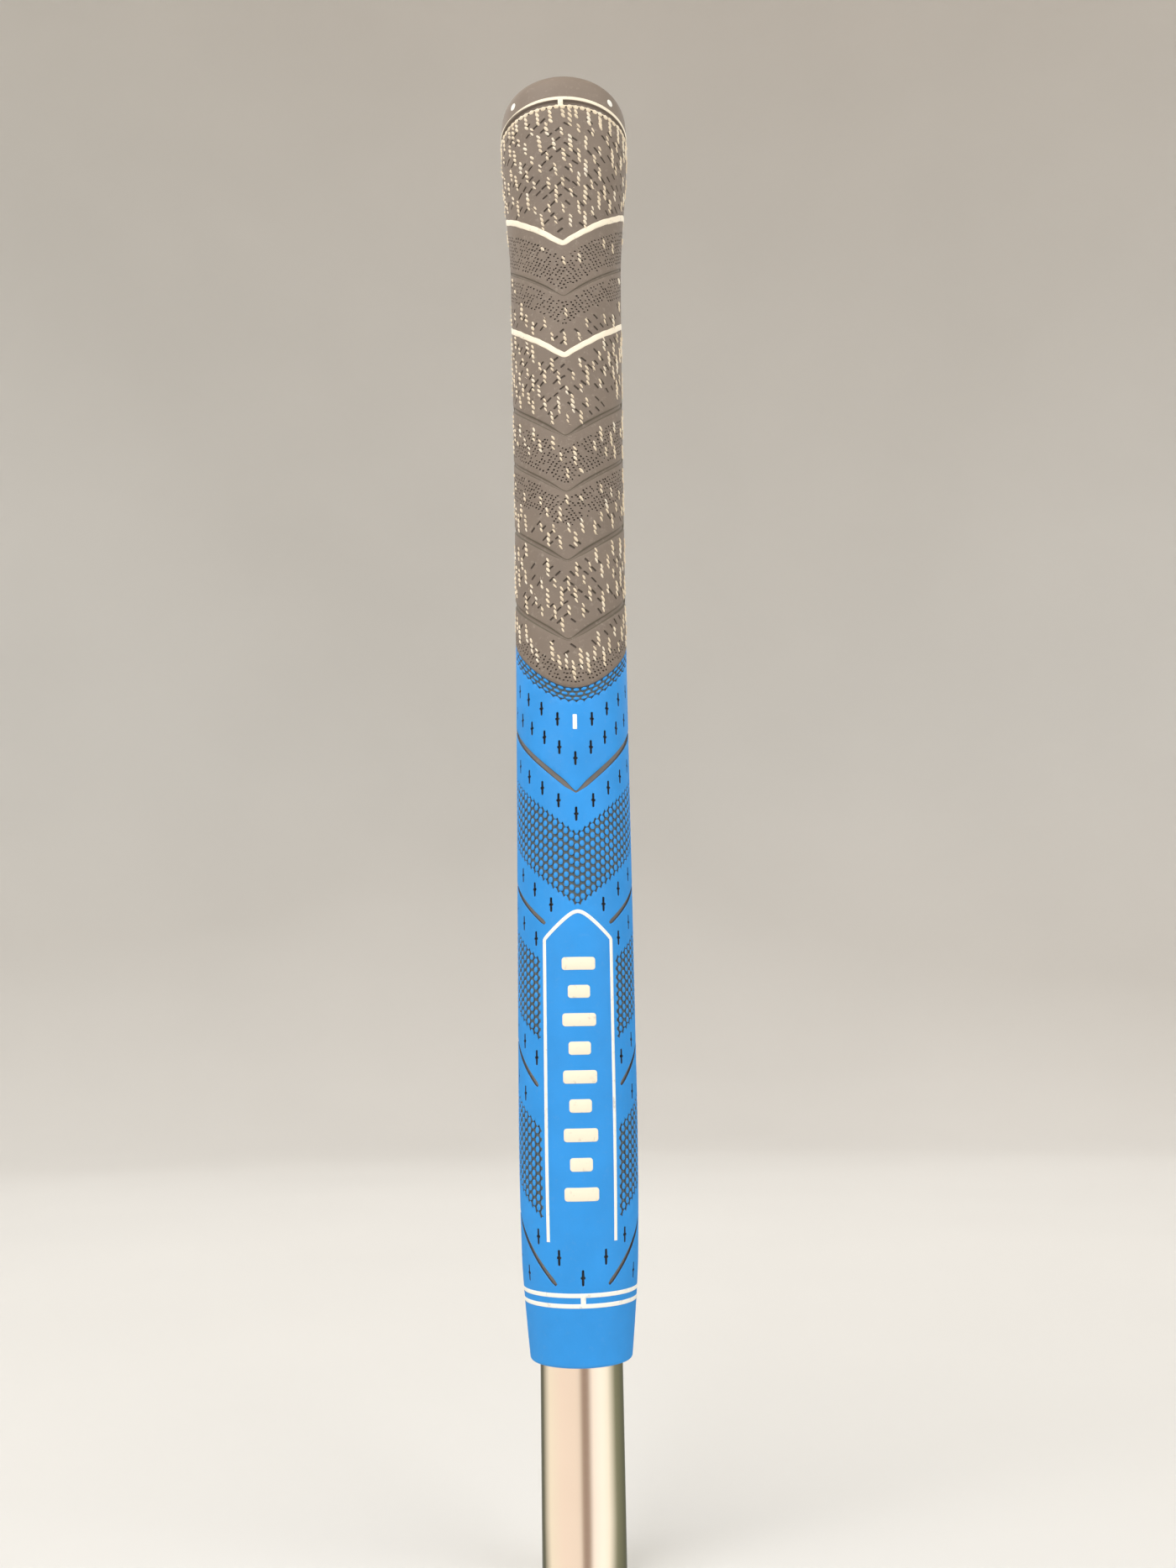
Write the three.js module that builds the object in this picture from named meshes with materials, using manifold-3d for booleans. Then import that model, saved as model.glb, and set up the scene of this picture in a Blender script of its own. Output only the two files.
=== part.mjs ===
// Cord golf grip fitted on the butt end of a steel club shaft.
// Millimetres. The shaft's cut end lies at z = 0 and +Z runs up the axis to the butt cap.
// The patterned front of the grip faces -Y. Heights called "h" are measured from the grip's mouth,
// angles are measured round the axis from the front (-Y) towards +X.
import * as THREE from 'three';
import { mergeVertices } from 'three/addons/utils/BufferGeometryUtils.js';
import Module from 'manifold-3d';

const wasm = await Module();
wasm.setup();

// ---------- driving dimensions ----------
const INCH = 25.4;
const SHAFT_DIAMETER = 0.6 * INCH;
const SHAFT_WALL = 0.6;
const GRIP_LENGTH = 10.5 * INCH;
const BARE_SHAFT = 1.5 * INCH;
const LOWER_HAND_RADIUS = 11.4;
const MOUTH_REDUCTION = 1.3;
const MOUTH_TAPER_LENGTH = 50;
const MOUTH_ROLL = 0.7; // how much the last stretch before the mouth closes in on top of the taper
const MOUTH_ROLL_LENGTH = 17;
const SWELL_START = 120;
const SWELL_RATE = 7.3e-5;
const FLARE = { from: 222, to: 252, height: 1.38 };

const SHEET = 1.05; // thickness of the blue lower sleeve
const CORD_RUBBER = 0.8; // thickness of the black rubber over the cotton layer
const CORD_LAYER = 0.15; // thickness of the cotton layer
const SLIP = 0.07; // clearance between bonded rubber layers
const THIN_GAP = 0.05; // clearance on each side of the tape and of the cotton layer
const FIT = 0.1; // clearance between an inlay and its pocket
const INLAY_DEPTH = 0.35;
const PROUD = 0.03; // how far painted inlays stand above the rubber
const OVERCUT = 0.6; // how far a cutter reaches outside the grip

const SEGMENTS = 36;
const FINE_SEGMENTS = 72; // for the black half, whose chevrons point half a coarse segment off the front
const HALF_TURN = Math.PI;
const QUARTER_TURN = Math.PI / 2;
const degrees = THREE.MathUtils.degToRad;
const UPPER_TURN = degrees(-5); // the black half's pattern and the cap are turned against the blue half

// ---------- shape of the grip ----------
function gripRadius(h) {
  const mouthTaper = MOUTH_REDUCTION * Math.max(0, 1 - h / MOUTH_TAPER_LENGTH) ** 2.2;
  const mouthRoll = MOUTH_ROLL * Math.max(0, 1 - h / MOUTH_ROLL_LENGTH) ** 1.2;
  const swell = SWELL_RATE * Math.max(0, h - SWELL_START) ** 2;
  const flare = FLARE.height * THREE.MathUtils.smoothstep(h, FLARE.from, FLARE.to);
  return LOWER_HAND_RADIUS - mouthTaper - mouthRoll + swell + flare;
}

// Angle from the nearer of the front and back centre lines: the pattern repeats on the back.
function folded(angle) {
  const wrapped = THREE.MathUtils.euclideanModulo(angle + HALF_TURN, 2 * HALF_TURN) - HALF_TURN;
  return Math.min(Math.abs(wrapped), HALF_TURN - Math.abs(wrapped));
}

function arc(angle) {
  return folded(angle) * LOWER_HAND_RADIUS;
}

const flat = () => 0;
const blueChevron = (angle) => 0.8 * arc(angle);
const mainChevron = (angle) => 0.87 * arc(angle);
const BORDER_BEND = 6;
const borderCurve = (angle) => BORDER_BEND * (Math.hypot(1, arc(angle) / BORDER_BEND) - 1);

// The black half's chevrons get a little steeper towards the butt.
function blackChevron(h) {
  const slope = 0.7 + 0.0015 * Math.max(0, h - 151);
  return (angle) => slope * arc(angle - UPPER_TURN);
}

// ---------- geometry helpers ----------
function placed(angle, h, radius) {
  return [radius * Math.sin(angle), -radius * Math.cos(angle), BARE_SHAFT + h];
}

// A ring lathed from points {h, depth | radius, lift}. depth is measured in from the grip's surface,
// lift raises the point by an amount that depends on the angle, so grooves can follow chevrons.
function ringBody(points, segments = SEGMENTS) {
  const loop = [...points, points[0]];
  const outline = loop.map((point) => new THREE.Vector2(point.radius ?? gripRadius(point.h), point.h));
  const geometry = new THREE.LatheGeometry(outline, segments);
  const position = geometry.getAttribute('position');
  for (let turn = 0; turn <= segments; turn += 1) {
    const angle = (2 * HALF_TURN * (turn % segments)) / segments;
    loop.forEach((point, index) => {
      const h = point.h + (point.lift ?? flat)(angle);
      const radius = point.radius ?? gripRadius(h) - point.depth;
      position.setXYZ(turn * loop.length + index, ...placed(angle, h, radius));
    });
  }
  return closed(geometry);
}

// A patch wrapped round the grip between two angles, from h = bottom(angle) to h = top(angle).
function patch({ from, to, bottom, top, inner, outer, across, up = 1 }) {
  const geometry = new THREE.BoxGeometry(1, 1, 1, across, up, 1);
  const position = geometry.getAttribute('position');
  for (let index = 0; index < position.count; index += 1) {
    const angle = THREE.MathUtils.lerp(from, to, position.getX(index) + 0.5);
    const h = THREE.MathUtils.lerp(bottom(angle), top(angle), position.getY(index) + 0.5);
    const depth = position.getZ(index) > 0 ? outer : inner;
    position.setXYZ(index, ...placed(angle, h, gripRadius(h) - depth));
  }
  return closed(geometry);
}

// A straight upright block of the grip's surface, centred on an angle and a height.
function block(angle, h, width, height, inner, outer, across = 1) {
  const halfAngle = width / 2 / gripRadius(h);
  return patch({
    from: angle - halfAngle,
    to: angle + halfAngle,
    bottom: () => h - height / 2,
    top: () => h + height / 2,
    inner,
    outer,
    across,
  });
}

function closed(geometry) {
  geometry.deleteAttribute('normal');
  geometry.deleteAttribute('uv');
  return mergeVertices(geometry, 1e-5);
}

function solid(geometry) {
  return new wasm.Manifold(new wasm.Mesh({
    numProp: 3,
    vertProperties: new Float32Array(geometry.getAttribute('position').array),
    triVerts: new Uint32Array(geometry.getIndex().array),
  }));
}

function union(geometries) {
  return geometries.map(solid).reduce((joined, next) => joined.add(next));
}

function toGeometry(manifold) {
  const { vertProperties, triVerts } = manifold.getMesh();
  const geometry = new THREE.BufferGeometry();
  geometry.setAttribute('position', new THREE.BufferAttribute(new Float32Array(vertProperties), 3));
  geometry.setIndex(new THREE.BufferAttribute(new Uint32Array(triVerts), 1));
  return geometry;
}

const grip = new THREE.Group();
grip.name = 'golf_grip';

function add(name, geometry, color, roughness, metalness = 0) {
  const flatShaded = geometry.index ? geometry.toNonIndexed() : geometry;
  flatShaded.computeVertexNormals();
  const material = new THREE.MeshStandardMaterial({ color, roughness, metalness });
  material.name = `${name}_material`;
  const mesh = new THREE.Mesh(flatShaded, material);
  mesh.name = name;
  grip.add(mesh);
}

const COLOR = {
  steel: 0xcfc8bd,
  tape: 0xe8dfc8,
  charcoal: 0x4b4a48,
  black: 0x2c2a29,
  cotton: 0xe6d2b0,
  blue: 0x2f8fe0,
  mesh: 0x6f7d88,
  white: 0xf6f1e2,
};

// ---------- places on the grip ----------
const CAP_SEAT = 252.6; // underside of the butt cap's plug
const SLEEVE_TOP = 254.4;
const CORD_EDGE = { from: 254.5, to: 255.1 };
const CAP_SHOULDER = 255.3;
const CAP_LINE = { from: 256.35, to: 257.1 };
const CAP_STEP_RADIUS = 12.95;
const TAPE_THICKNESS = 0.18;
const TAPE_INNER = SHAFT_DIAMETER / 2 + THIN_GAP;
const TAPE_OUTER = TAPE_INNER + TAPE_THICKNESS;
const SHAFT_TOP = CAP_SEAT - 1;
const CORE_INNER = TAPE_OUTER + SLIP;
const BORDER = 125.3;
const LACE = { from: 122.6, to: BORDER - 0.1 };
const MESH_BAND = { from: 82.7, to: 96.3 };
const MAIN_GROOVE = { h: 104.4, width: 1.1, depth: 0.45 };
const MOUTH_LINES = [10.7, 12.5];
const MOUTH_LINE_WIDTH = 0.75;
const PAINTED_CHEVRONS = { chevron_line_lower: 197.1, chevron_line_upper: 223 };
const CHEVRON_WIDTH = 1.15;
const BLACK_GROOVES = {
  h135: { h: 135.2, width: 1, depth: 0.35 },
  h152: { h: 151.8, width: 1, depth: 0.35 },
  h166: { h: 166.6, width: 0.8, depth: 0.3 },
  h179: { h: 178.9, width: 1, depth: 0.35 },
  h210: { h: 210.6, width: 0.7, depth: 0.3 },
};
// Heights at which the black skin bends with the flare, above its last chevron.
const FLARE_BENDS = [240, 244, 248];
// Heights at which the inner layers bend with the swell and the flare of the grip.
const LAYER_BENDS = [160, 195, 222, 232, 243, CAP_SEAT - 0.3];
// Heights at which they bend with the taper towards the mouth, and the thickness of the mouth's end wall.
const MOUTH_BENDS = [12, 28, MOUTH_TAPER_LENGTH];
const MOUTH_WALL = 1.3;

// ---------- steel shaft and double-sided tape ----------
function shaftTube() {
  const outer = SHAFT_DIAMETER / 2;
  const inner = outer - SHAFT_WALL;
  const bottom = -BARE_SHAFT;
  const top = SHAFT_TOP;
  const deburr = 0.12;
  return ringBody([
    { radius: inner + deburr, h: bottom },
    { radius: outer - deburr, h: bottom },
    { radius: outer, h: bottom + deburr },
    { radius: outer, h: top - deburr },
    { radius: outer - deburr, h: top },
    { radius: inner + deburr, h: top },
    { radius: inner, h: top - deburr },
    { radius: inner, h: bottom + deburr },
  ]);
}

function gripTape() {
  const bore = SHAFT_DIAMETER / 2 - SHAFT_WALL - THIN_GAP;
  const start = 2.5; // the tape stops a little inside the grip's mouth
  const tuck = 12; // length folded into the open butt of the shaft
  const fold = SHAFT_TOP + THIN_GAP;
  return ringBody([
    { radius: TAPE_INNER, h: start },
    { radius: TAPE_OUTER, h: start },
    { radius: TAPE_OUTER, h: fold + TAPE_THICKNESS },
    { radius: bore - TAPE_THICKNESS, h: fold + TAPE_THICKNESS },
    { radius: bore - TAPE_THICKNESS, h: SHAFT_TOP - tuck },
    { radius: bore, h: SHAFT_TOP - tuck },
    { radius: bore, h: fold },
    { radius: TAPE_INNER, h: fold },
  ]);
}

// ---------- rubber layers ----------
function coreSleeve() {
  const bottom = MOUTH_WALL + FIT;
  const top = LAYER_BENDS.at(-1);
  const bends = [bottom, ...MOUTH_BENDS, SWELL_START, ...LAYER_BENDS];
  return ringBody([
    { radius: CORE_INNER, h: bottom },
    ...bends.map((h) => ({ h, depth: SHEET + SLIP })),
    { radius: CORE_INNER, h: top },
  ]);
}

function layerWall(depth) {
  return LAYER_BENDS.map((h) => ({ h, depth }));
}

function cordLayer() {
  const outer = CORD_RUBBER + THIN_GAP;
  const inner = outer + CORD_LAYER;
  const edge = { h: BORDER + 0.6, lift: borderCurve };
  return ringBody([
    { ...edge, depth: outer },
    ...layerWall(outer),
    ...layerWall(inner).reverse(),
    { ...edge, depth: inner },
  ]);
}

function grooveAt(h, width, depth, lift = flat) {
  const half = width / 2;
  return [
    { h: h - half, depth: 0, lift },
    { h: h - half, depth, lift },
    { h: h + half, depth, lift },
    { h: h + half, depth: 0, lift },
  ];
}

function blackGroove({ h, width, depth }) {
  return grooveAt(h, width, depth, blackChevron(h));
}

function chevronPocket(h) {
  return blackGroove({ h, width: CHEVRON_WIDTH, depth: INLAY_DEPTH + FIT });
}

function upperSleeve() {
  const edge = { h: BORDER + FIT, lift: borderCurve };
  const edgeRounding = { width: 0.25, depth: 0.12 };
  const outerWall = [
    { ...edge, depth: edgeRounding.depth },
    { ...edge, h: edge.h + edgeRounding.width, depth: 0 },
    ...blackGroove(BLACK_GROOVES.h135),
    ...blackGroove(BLACK_GROOVES.h152),
    ...blackGroove(BLACK_GROOVES.h166),
    ...blackGroove(BLACK_GROOVES.h179),
    ...chevronPocket(PAINTED_CHEVRONS.chevron_line_lower),
    ...blackGroove(BLACK_GROOVES.h210),
    ...chevronPocket(PAINTED_CHEVRONS.chevron_line_upper),
    ...FLARE_BENDS.map((h) => ({ h, depth: 0 })),
    { h: SLEEVE_TOP - edgeRounding.width, depth: 0 },
    { h: SLEEVE_TOP, depth: edgeRounding.depth },
  ];
  const innerWall = [
    { h: SLEEVE_TOP, depth: CORD_RUBBER },
    ...layerWall(CORD_RUBBER).reverse(),
    { ...edge, depth: CORD_RUBBER },
  ];
  return ringBody([...outerWall, ...innerWall], FINE_SEGMENTS);
}

function mouthLip() {
  const radius = 0.6;
  const steps = [0, 30, 60, 90].map(degrees);
  return steps.map((step) => ({
    radius: gripRadius(radius) - radius + radius * Math.sin(step),
    h: radius - radius * Math.cos(step),
  }));
}

function lowerSleeveBlank() {
  const pocket = INLAY_DEPTH + FIT;
  const taper = [20, 32, MOUTH_TAPER_LENGTH];
  return ringBody([
    { radius: CORE_INNER, h: 0 },
    ...mouthLip(),
    ...MOUTH_LINES.flatMap((h) => grooveAt(h, MOUTH_LINE_WIDTH, pocket)),
    ...taper.map((h) => ({ h, depth: 0 })),
    { h: MESH_BAND.from, depth: 0, lift: blueChevron },
    { h: MESH_BAND.from, depth: pocket, lift: blueChevron },
    { h: MESH_BAND.to, depth: pocket, lift: blueChevron },
    { h: MESH_BAND.to, depth: 0, lift: blueChevron },
    ...grooveAt(MAIN_GROOVE.h, MAIN_GROOVE.width, MAIN_GROOVE.depth, mainChevron),
    { h: LACE.from, depth: 0, lift: borderCurve },
    { h: LACE.from, depth: pocket, lift: borderCurve },
    { h: BORDER, depth: pocket, lift: borderCurve },
    { h: BORDER, depth: SHEET, lift: borderCurve },
    ...[MOUTH_WALL, ...MOUTH_BENDS, SWELL_START].reverse().map((h) => ({ h, depth: SHEET })),
    { radius: CORE_INNER, h: MOUTH_WALL },
  ]);
}

// ---------- cuts in the blue sleeve ----------
const SLIT = { width: 0.5, height: 2.75, depth: 0.7 };
// Rows of upright slits: the first at `first` degrees, the others `pitch` degrees on and `rise` higher each.
const SLIT_ROWS = [
  { first: 17.4, pitch: 17.4, h: 119.1, rise: 2.5, count: 4 },
  { first: 0, pitch: 15.8, h: 111.1, rise: 2.3, count: 6 },
  { first: 0, pitch: 17.3, h: 100.1, rise: 2.75, count: 5 },
  { first: 26.2, pitch: 19.1, h: 82.75, rise: 3.2, count: 3 },
  { first: 44, pitch: 19, h: 76.5, rise: 3.25, count: 3 },
  { first: 44.5, pitch: 18.5, h: 54.3, rise: 3.1, count: 3 },
  { first: 44.9, pitch: 17.5, h: 44.7, rise: 3.1, count: 3 },
  { first: 0, pitch: 23, h: 15.5, rise: 3.45, count: 4 },
  { first: 62.5, pitch: 20, h: 15.8, rise: 2.6, count: 2 },
];

// A knife-shaped notch: a three-sided prism whose edge points at the axis.
function slitCutter(angle, h) {
  const surface = gripRadius(h);
  const knife = new THREE.CylinderGeometry(1, 1, SLIT.height, 3);
  const reach = (SLIT.depth + OVERCUT) / 1.5;
  const spread = (SLIT.width / 2) * ((SLIT.depth + OVERCUT) / SLIT.depth);
  knife.scale(spread / Math.sin(Math.PI / 3), 1, reach);
  knife.rotateX(QUARTER_TURN);
  knife.translate(0, surface - SLIT.depth + reach, BARE_SHAFT + h);
  knife.rotateZ(angle + HALF_TURN);
  return closed(knife);
}

// The same place seen in the four quarters: right, left and their mirror images on the back.
function quarters(angle) {
  if (angle === 0) {
    return [0, HALF_TURN];
  }
  return [angle, -angle, HALF_TURN - angle, angle - HALF_TURN];
}

function slits() {
  return SLIT_ROWS.flatMap(({ first, pitch, h, rise, count }) =>
    Array.from({ length: count }, (_, step) => ({ angle: first + step * pitch, h: h + step * rise }))
      .filter(({ angle }) => angle <= 90)
      .flatMap((slit) => quarters(degrees(slit.angle)).map((angle) => slitCutter(angle, slit.h))));
}

// A band that starts `start` degrees from the front centre line, climbs to the side of the grip
// and comes down again behind it.
function sideBand({ start, bottom, top, slope }, side, inner, outer, inset = 0) {
  const from = degrees(start) + inset / LOWER_HAND_RADIUS;
  const climb = (angle) => slope * LOWER_HAND_RADIUS * (folded(angle) - degrees(start));
  return patch({
    from: side > 0 ? from : from - HALF_TURN,
    to: side > 0 ? HALF_TURN - from : -from,
    bottom: (angle) => bottom + inset + climb(angle),
    top: (angle) => top - inset + climb(angle),
    inner,
    outer,
    across: 14,
    up: 2,
  });
}

const SIDES = { right: 1, left: -1 };
const SIDE_PANELS = {
  upper: { start: 39.2, bottom: 57.8, top: 72.2, slope: 0.75 },
  lower: { start: 39.2, bottom: 25.8, top: 41.2, slope: 0.75 },
};
const SIDE_GROOVES = [
  { start: 33, bottom: 78.8, top: 79.6, slope: 0.83 },
  { start: 43, bottom: 48.7, top: 49.5, slope: 1 },
  { start: 26.5, bottom: 13.8, top: 14.6, slope: 1 },
];

// ---------- painted marks ----------
const PANEL = { halfAngle: degrees(34.2), bottom: 21.6, apex: 81.3, slope: 0.95, line: 0.7 };

function panelArch(angle) {
  const rounding = 1.5;
  return PANEL.apex + rounding - Math.hypot(rounding, PANEL.slope * arc(angle));
}

function panelOutline(centre, inner, outer, grow) {
  const halfLine = PANEL.line / 2 + grow;
  const side = PANEL.halfAngle;
  const post = halfLine / LOWER_HAND_RADIUS;
  const shoulder = panelArch(side);
  const upright = (angle) => patch({
    from: angle - post,
    to: angle + post,
    bottom: () => PANEL.bottom - grow,
    top: () => shoulder,
    inner,
    outer,
    across: 1,
    up: 8,
  });
  const arch = patch({
    from: centre - side - post,
    to: centre + side + post,
    bottom: (angle) => panelArch(angle) - halfLine,
    top: (angle) => panelArch(angle) + halfLine,
    inner,
    outer,
    across: 12,
  });
  return union([upright(centre - side), upright(centre + side), arch]);
}

const BARS = { count: 9, first: 29.9, pitch: 5.2, height: 2.4, wide: 6.4, narrow: 4.2 };

function panelBar(index, inner, outer, grow) {
  const h = BARS.first + index * BARS.pitch;
  const width = (index % 2 ? BARS.narrow : BARS.wide) + 2 * grow;
  const halfAngle = width / 2 / gripRadius(h);
  const corner = 0.45;
  const trim = (angle) => corner * THREE.MathUtils.smoothstep(Math.abs(angle) / halfAngle, 0.8, 1);
  return patch({
    from: -halfAngle,
    to: halfAngle,
    bottom: (angle) => h - BARS.height / 2 - grow + trim(angle),
    top: (angle) => h + BARS.height / 2 + grow - trim(angle),
    inner,
    outer,
    across: 10,
  });
}

const MARK = { h: 118.4, width: 0.85, height: 3.1 };
const MOUTH_TICK_WIDTH = 1;
const TICK_SHY = 0.02; // how far a tick's faces stay behind those of the ring it joins

function mouthTick(inner, outer, grow) {
  const h = (MOUTH_LINES[0] + MOUTH_LINES[1]) / 2;
  return block(0, h, MOUTH_TICK_WIDTH + 2 * grow, MOUTH_LINES[1] - MOUTH_LINES[0], inner, outer);
}

function mouthLines() {
  const rings = MOUTH_LINES.map((h) => ringBody([
    { h: h - MOUTH_LINE_WIDTH / 2 + FIT, depth: INLAY_DEPTH },
    { h: h - MOUTH_LINE_WIDTH / 2 + FIT, depth: -PROUD },
    { h: h + MOUTH_LINE_WIDTH / 2 - FIT, depth: -PROUD },
    { h: h + MOUTH_LINE_WIDTH / 2 - FIT, depth: INLAY_DEPTH },
  ]));
  return toGeometry(union([...rings, mouthTick(INLAY_DEPTH - TICK_SHY, TICK_SHY - PROUD, 0)]));
}

function chevronLine(h) {
  const half = CHEVRON_WIDTH / 2 - FIT;
  const lift = blackChevron(h);
  return ringBody([
    { h: h - half, depth: INLAY_DEPTH, lift },
    { h: h - half, depth: -PROUD, lift },
    { h: h + half, depth: -PROUD, lift },
    { h: h + half, depth: INLAY_DEPTH, lift },
  ], FINE_SEGMENTS);
}

const MESH_SINK = 0.05; // how far the mesh fields lie below the blue surface

function zigzagBand({ from, to }, lift) {
  return ringBody([
    { h: from + FIT, depth: INLAY_DEPTH, lift },
    { h: from + FIT, depth: MESH_SINK, lift },
    { h: to - FIT, depth: MESH_SINK, lift },
    { h: to - FIT, depth: INLAY_DEPTH, lift },
  ]);
}

function lowerSleeve() {
  const pocket = INLAY_DEPTH + FIT;
  const cutters = [
    ...slits(),
    ...Object.values(SIDES).flatMap((side) => [
      ...Object.values(SIDE_PANELS).map((panel) => sideBand(panel, side, pocket, -OVERCUT)),
      ...SIDE_GROOVES.map((groove) => sideBand(groove, side, MAIN_GROOVE.depth, -OVERCUT)),
    ]),
    ...Array.from({ length: BARS.count }, (_, index) => panelBar(index, pocket, -OVERCUT, FIT)),
    block(0, MARK.h, MARK.width + 2 * FIT, MARK.height + 2 * FIT, pocket, -OVERCUT),
    mouthTick(pocket, -OVERCUT, FIT),
  ];
  return toGeometry(
    solid(lowerSleeveBlank())
      .subtract(union(cutters))
      .subtract(panelOutline(0, pocket, -OVERCUT, FIT))
      .subtract(panelOutline(HALF_TURN, pocket, -OVERCUT, FIT)),
  );
}

// ---------- butt cap ----------
const VENT_RADIUS = 1.25;
const CAP_FLAT_RADIUS = 4.6;
const CAP_DOTS = { angle: degrees(49), h: 259, radius: 0.8 };
const CAP_TICK_WIDTH = 0.9;

// The dome is a superellipse: a low, full-shouldered one.
const DOME = { base: CAP_LINE.to + FIT, top: GRIP_LENGTH - 0.15, sidePower: 2.4, topPower: 3.4, steps: 7 };

function domePoint(turn) {
  return {
    radius: gripRadius(DOME.base) * Math.cos(turn) ** (2 / DOME.sidePower),
    h: DOME.base + (DOME.top - DOME.base) * Math.sin(turn) ** (2 / DOME.topPower),
  };
}

function capBlank() {
  const rim = gripRadius(CAP_LINE.from);
  const flatTurn = Math.acos((CAP_FLAT_RADIUS / rim) ** (DOME.sidePower / 2));
  const dome = Array.from({ length: DOME.steps + 1 }, (_, step) =>
    domePoint(flatTurn * (step / DOME.steps) ** 1.25));
  const chamfer = 0.3;
  return ringBody([
    { radius: VENT_RADIUS, h: CAP_SEAT },
    { radius: CAP_STEP_RADIUS, h: CAP_SEAT },
    { radius: CAP_STEP_RADIUS, h: CAP_SHOULDER },
    { radius: rim - 0.5, h: CAP_SHOULDER },
    { radius: rim - 0.5, h: CAP_LINE.from - 0.1 },
    { radius: rim, h: CAP_LINE.from - 0.1 },
    { radius: rim, h: CAP_LINE.from },
    { radius: rim - INLAY_DEPTH - FIT, h: CAP_LINE.from },
    { radius: rim - INLAY_DEPTH - FIT, h: CAP_LINE.to },
    ...dome,
    { radius: CAP_FLAT_RADIUS - chamfer, h: GRIP_LENGTH },
    { radius: VENT_RADIUS + chamfer, h: GRIP_LENGTH },
    { radius: VENT_RADIUS, h: GRIP_LENGTH - chamfer },
  ]);
}

function capDot(side, radius, inner, outer) {
  const angle = side * CAP_DOTS.angle + UPPER_TURN;
  const dot = new THREE.CylinderGeometry(radius, radius, outer - inner, 12);
  dot.translate(0, gripRadius(CAP_DOTS.h) + (inner + outer) / 2 - 0.05, 0);
  dot.rotateX(HALF_TURN);
  dot.rotateZ(angle);
  dot.translate(0, 0, BARE_SHAFT + CAP_DOTS.h);
  return closed(dot);
}

function capTick(inner, outer, grow) {
  const bottom = CAP_SHOULDER + 0.1 - grow;
  const top = CAP_LINE.from + 0.4;
  return block(UPPER_TURN, (bottom + top) / 2, CAP_TICK_WIDTH + 2 * grow, top - bottom, inner, outer);
}

function endCap() {
  const pocket = INLAY_DEPTH + FIT;
  const dotPockets = Object.values(SIDES).map((side) => capDot(side, CAP_DOTS.radius + FIT, -0.55, 0.8));
  return toGeometry(
    solid(capBlank())
      .subtract(solid(capTick(pocket, -OVERCUT, FIT)))
      .subtract(union(dotPockets)),
  );
}

function capRingLine() {
  const rim = gripRadius(CAP_LINE.from);
  const ring = ringBody([
    { radius: rim - INLAY_DEPTH, h: CAP_LINE.from + FIT },
    { radius: rim + PROUD, h: CAP_LINE.from + FIT },
    { radius: rim + PROUD, h: CAP_LINE.to - FIT },
    { radius: rim - INLAY_DEPTH, h: CAP_LINE.to - FIT },
  ]);
  return toGeometry(union([ring, capTick(0.3, 0.02, 0)]));
}

function cordEdgeRing() {
  const rim = gripRadius(CORD_EDGE.from);
  return ringBody([
    { radius: CAP_STEP_RADIUS + FIT, h: CORD_EDGE.from },
    { radius: rim, h: CORD_EDGE.from },
    { radius: rim + PROUD, h: (CORD_EDGE.from + CORD_EDGE.to) / 2 },
    { radius: rim, h: CORD_EDGE.to },
    { radius: CAP_STEP_RADIUS + FIT, h: CORD_EDGE.to },
  ]);
}

// ---------- assembly ----------
add('shaft_tube', shaftTube(), COLOR.steel, 0.3, 0.9);
add('grip_tape', gripTape(), COLOR.tape, 0.8);
add('core_sleeve', coreSleeve(), COLOR.charcoal, 0.85);
add('cord_layer', cordLayer(), COLOR.cotton, 0.95);
add('upper_sleeve', upperSleeve(), COLOR.black, 0.8);
add('lower_sleeve', lowerSleeve(), COLOR.blue, 0.6);
add('end_cap', endCap(), COLOR.black, 0.7);
add('cord_edge_ring', cordEdgeRing(), COLOR.cotton, 0.9);
add('cap_ring_line', capRingLine(), COLOR.white, 0.6);
add('mouth_lines', mouthLines(), COLOR.white, 0.6);
add('mesh_band', zigzagBand(MESH_BAND, blueChevron), COLOR.mesh, 0.7);
add('lace_band', zigzagBand(LACE, borderCurve), COLOR.mesh, 0.7);

for (const [name, h] of Object.entries(PAINTED_CHEVRONS)) {
  add(name, chevronLine(h), COLOR.white, 0.6);
}

for (const [sideName, side] of Object.entries(SIDES)) {
  add(`cap_dot_${sideName}`, capDot(side, CAP_DOTS.radius, -0.4, 0.1), COLOR.white, 0.6);
  for (const [rowName, panel] of Object.entries(SIDE_PANELS)) {
    const field = sideBand(panel, side, INLAY_DEPTH, MESH_SINK, FIT);
    add(`mesh_panel_${sideName}_${rowName}`, field, COLOR.mesh, 0.7);
  }
}

const PANEL_CENTRES = { front: 0, back: HALF_TURN };
for (const [face, centre] of Object.entries(PANEL_CENTRES)) {
  add(`panel_outline_${face}`, toGeometry(panelOutline(centre, INLAY_DEPTH, -PROUD, 0)), COLOR.white, 0.6);
}

for (let index = 0; index < BARS.count; index += 1) {
  add(`panel_bar_${index + 1}`, panelBar(index, INLAY_DEPTH, -PROUD, 0), COLOR.white, 0.6);
}
add('alignment_mark', block(0, MARK.h, MARK.width, MARK.height, INLAY_DEPTH, -PROUD), COLOR.white, 0.6);

export default grip;
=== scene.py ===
"""Looks of a cord golf grip on its steel shaft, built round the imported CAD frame.

Lengths are millimetres, and metres in the studio section and in bump distances; Blender gets metres.
The grip's skin is drawn unrolled: x runs round the grip (measured at the reference radius, 0 at the
front centre line), h is the height above the grip's mouth, proud is the height above the surface.
"""

import math
import random

import bmesh
import bpy
from mathutils import Matrix, Vector
from mathutils.geometry import delaunay_2d_cdt


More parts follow.
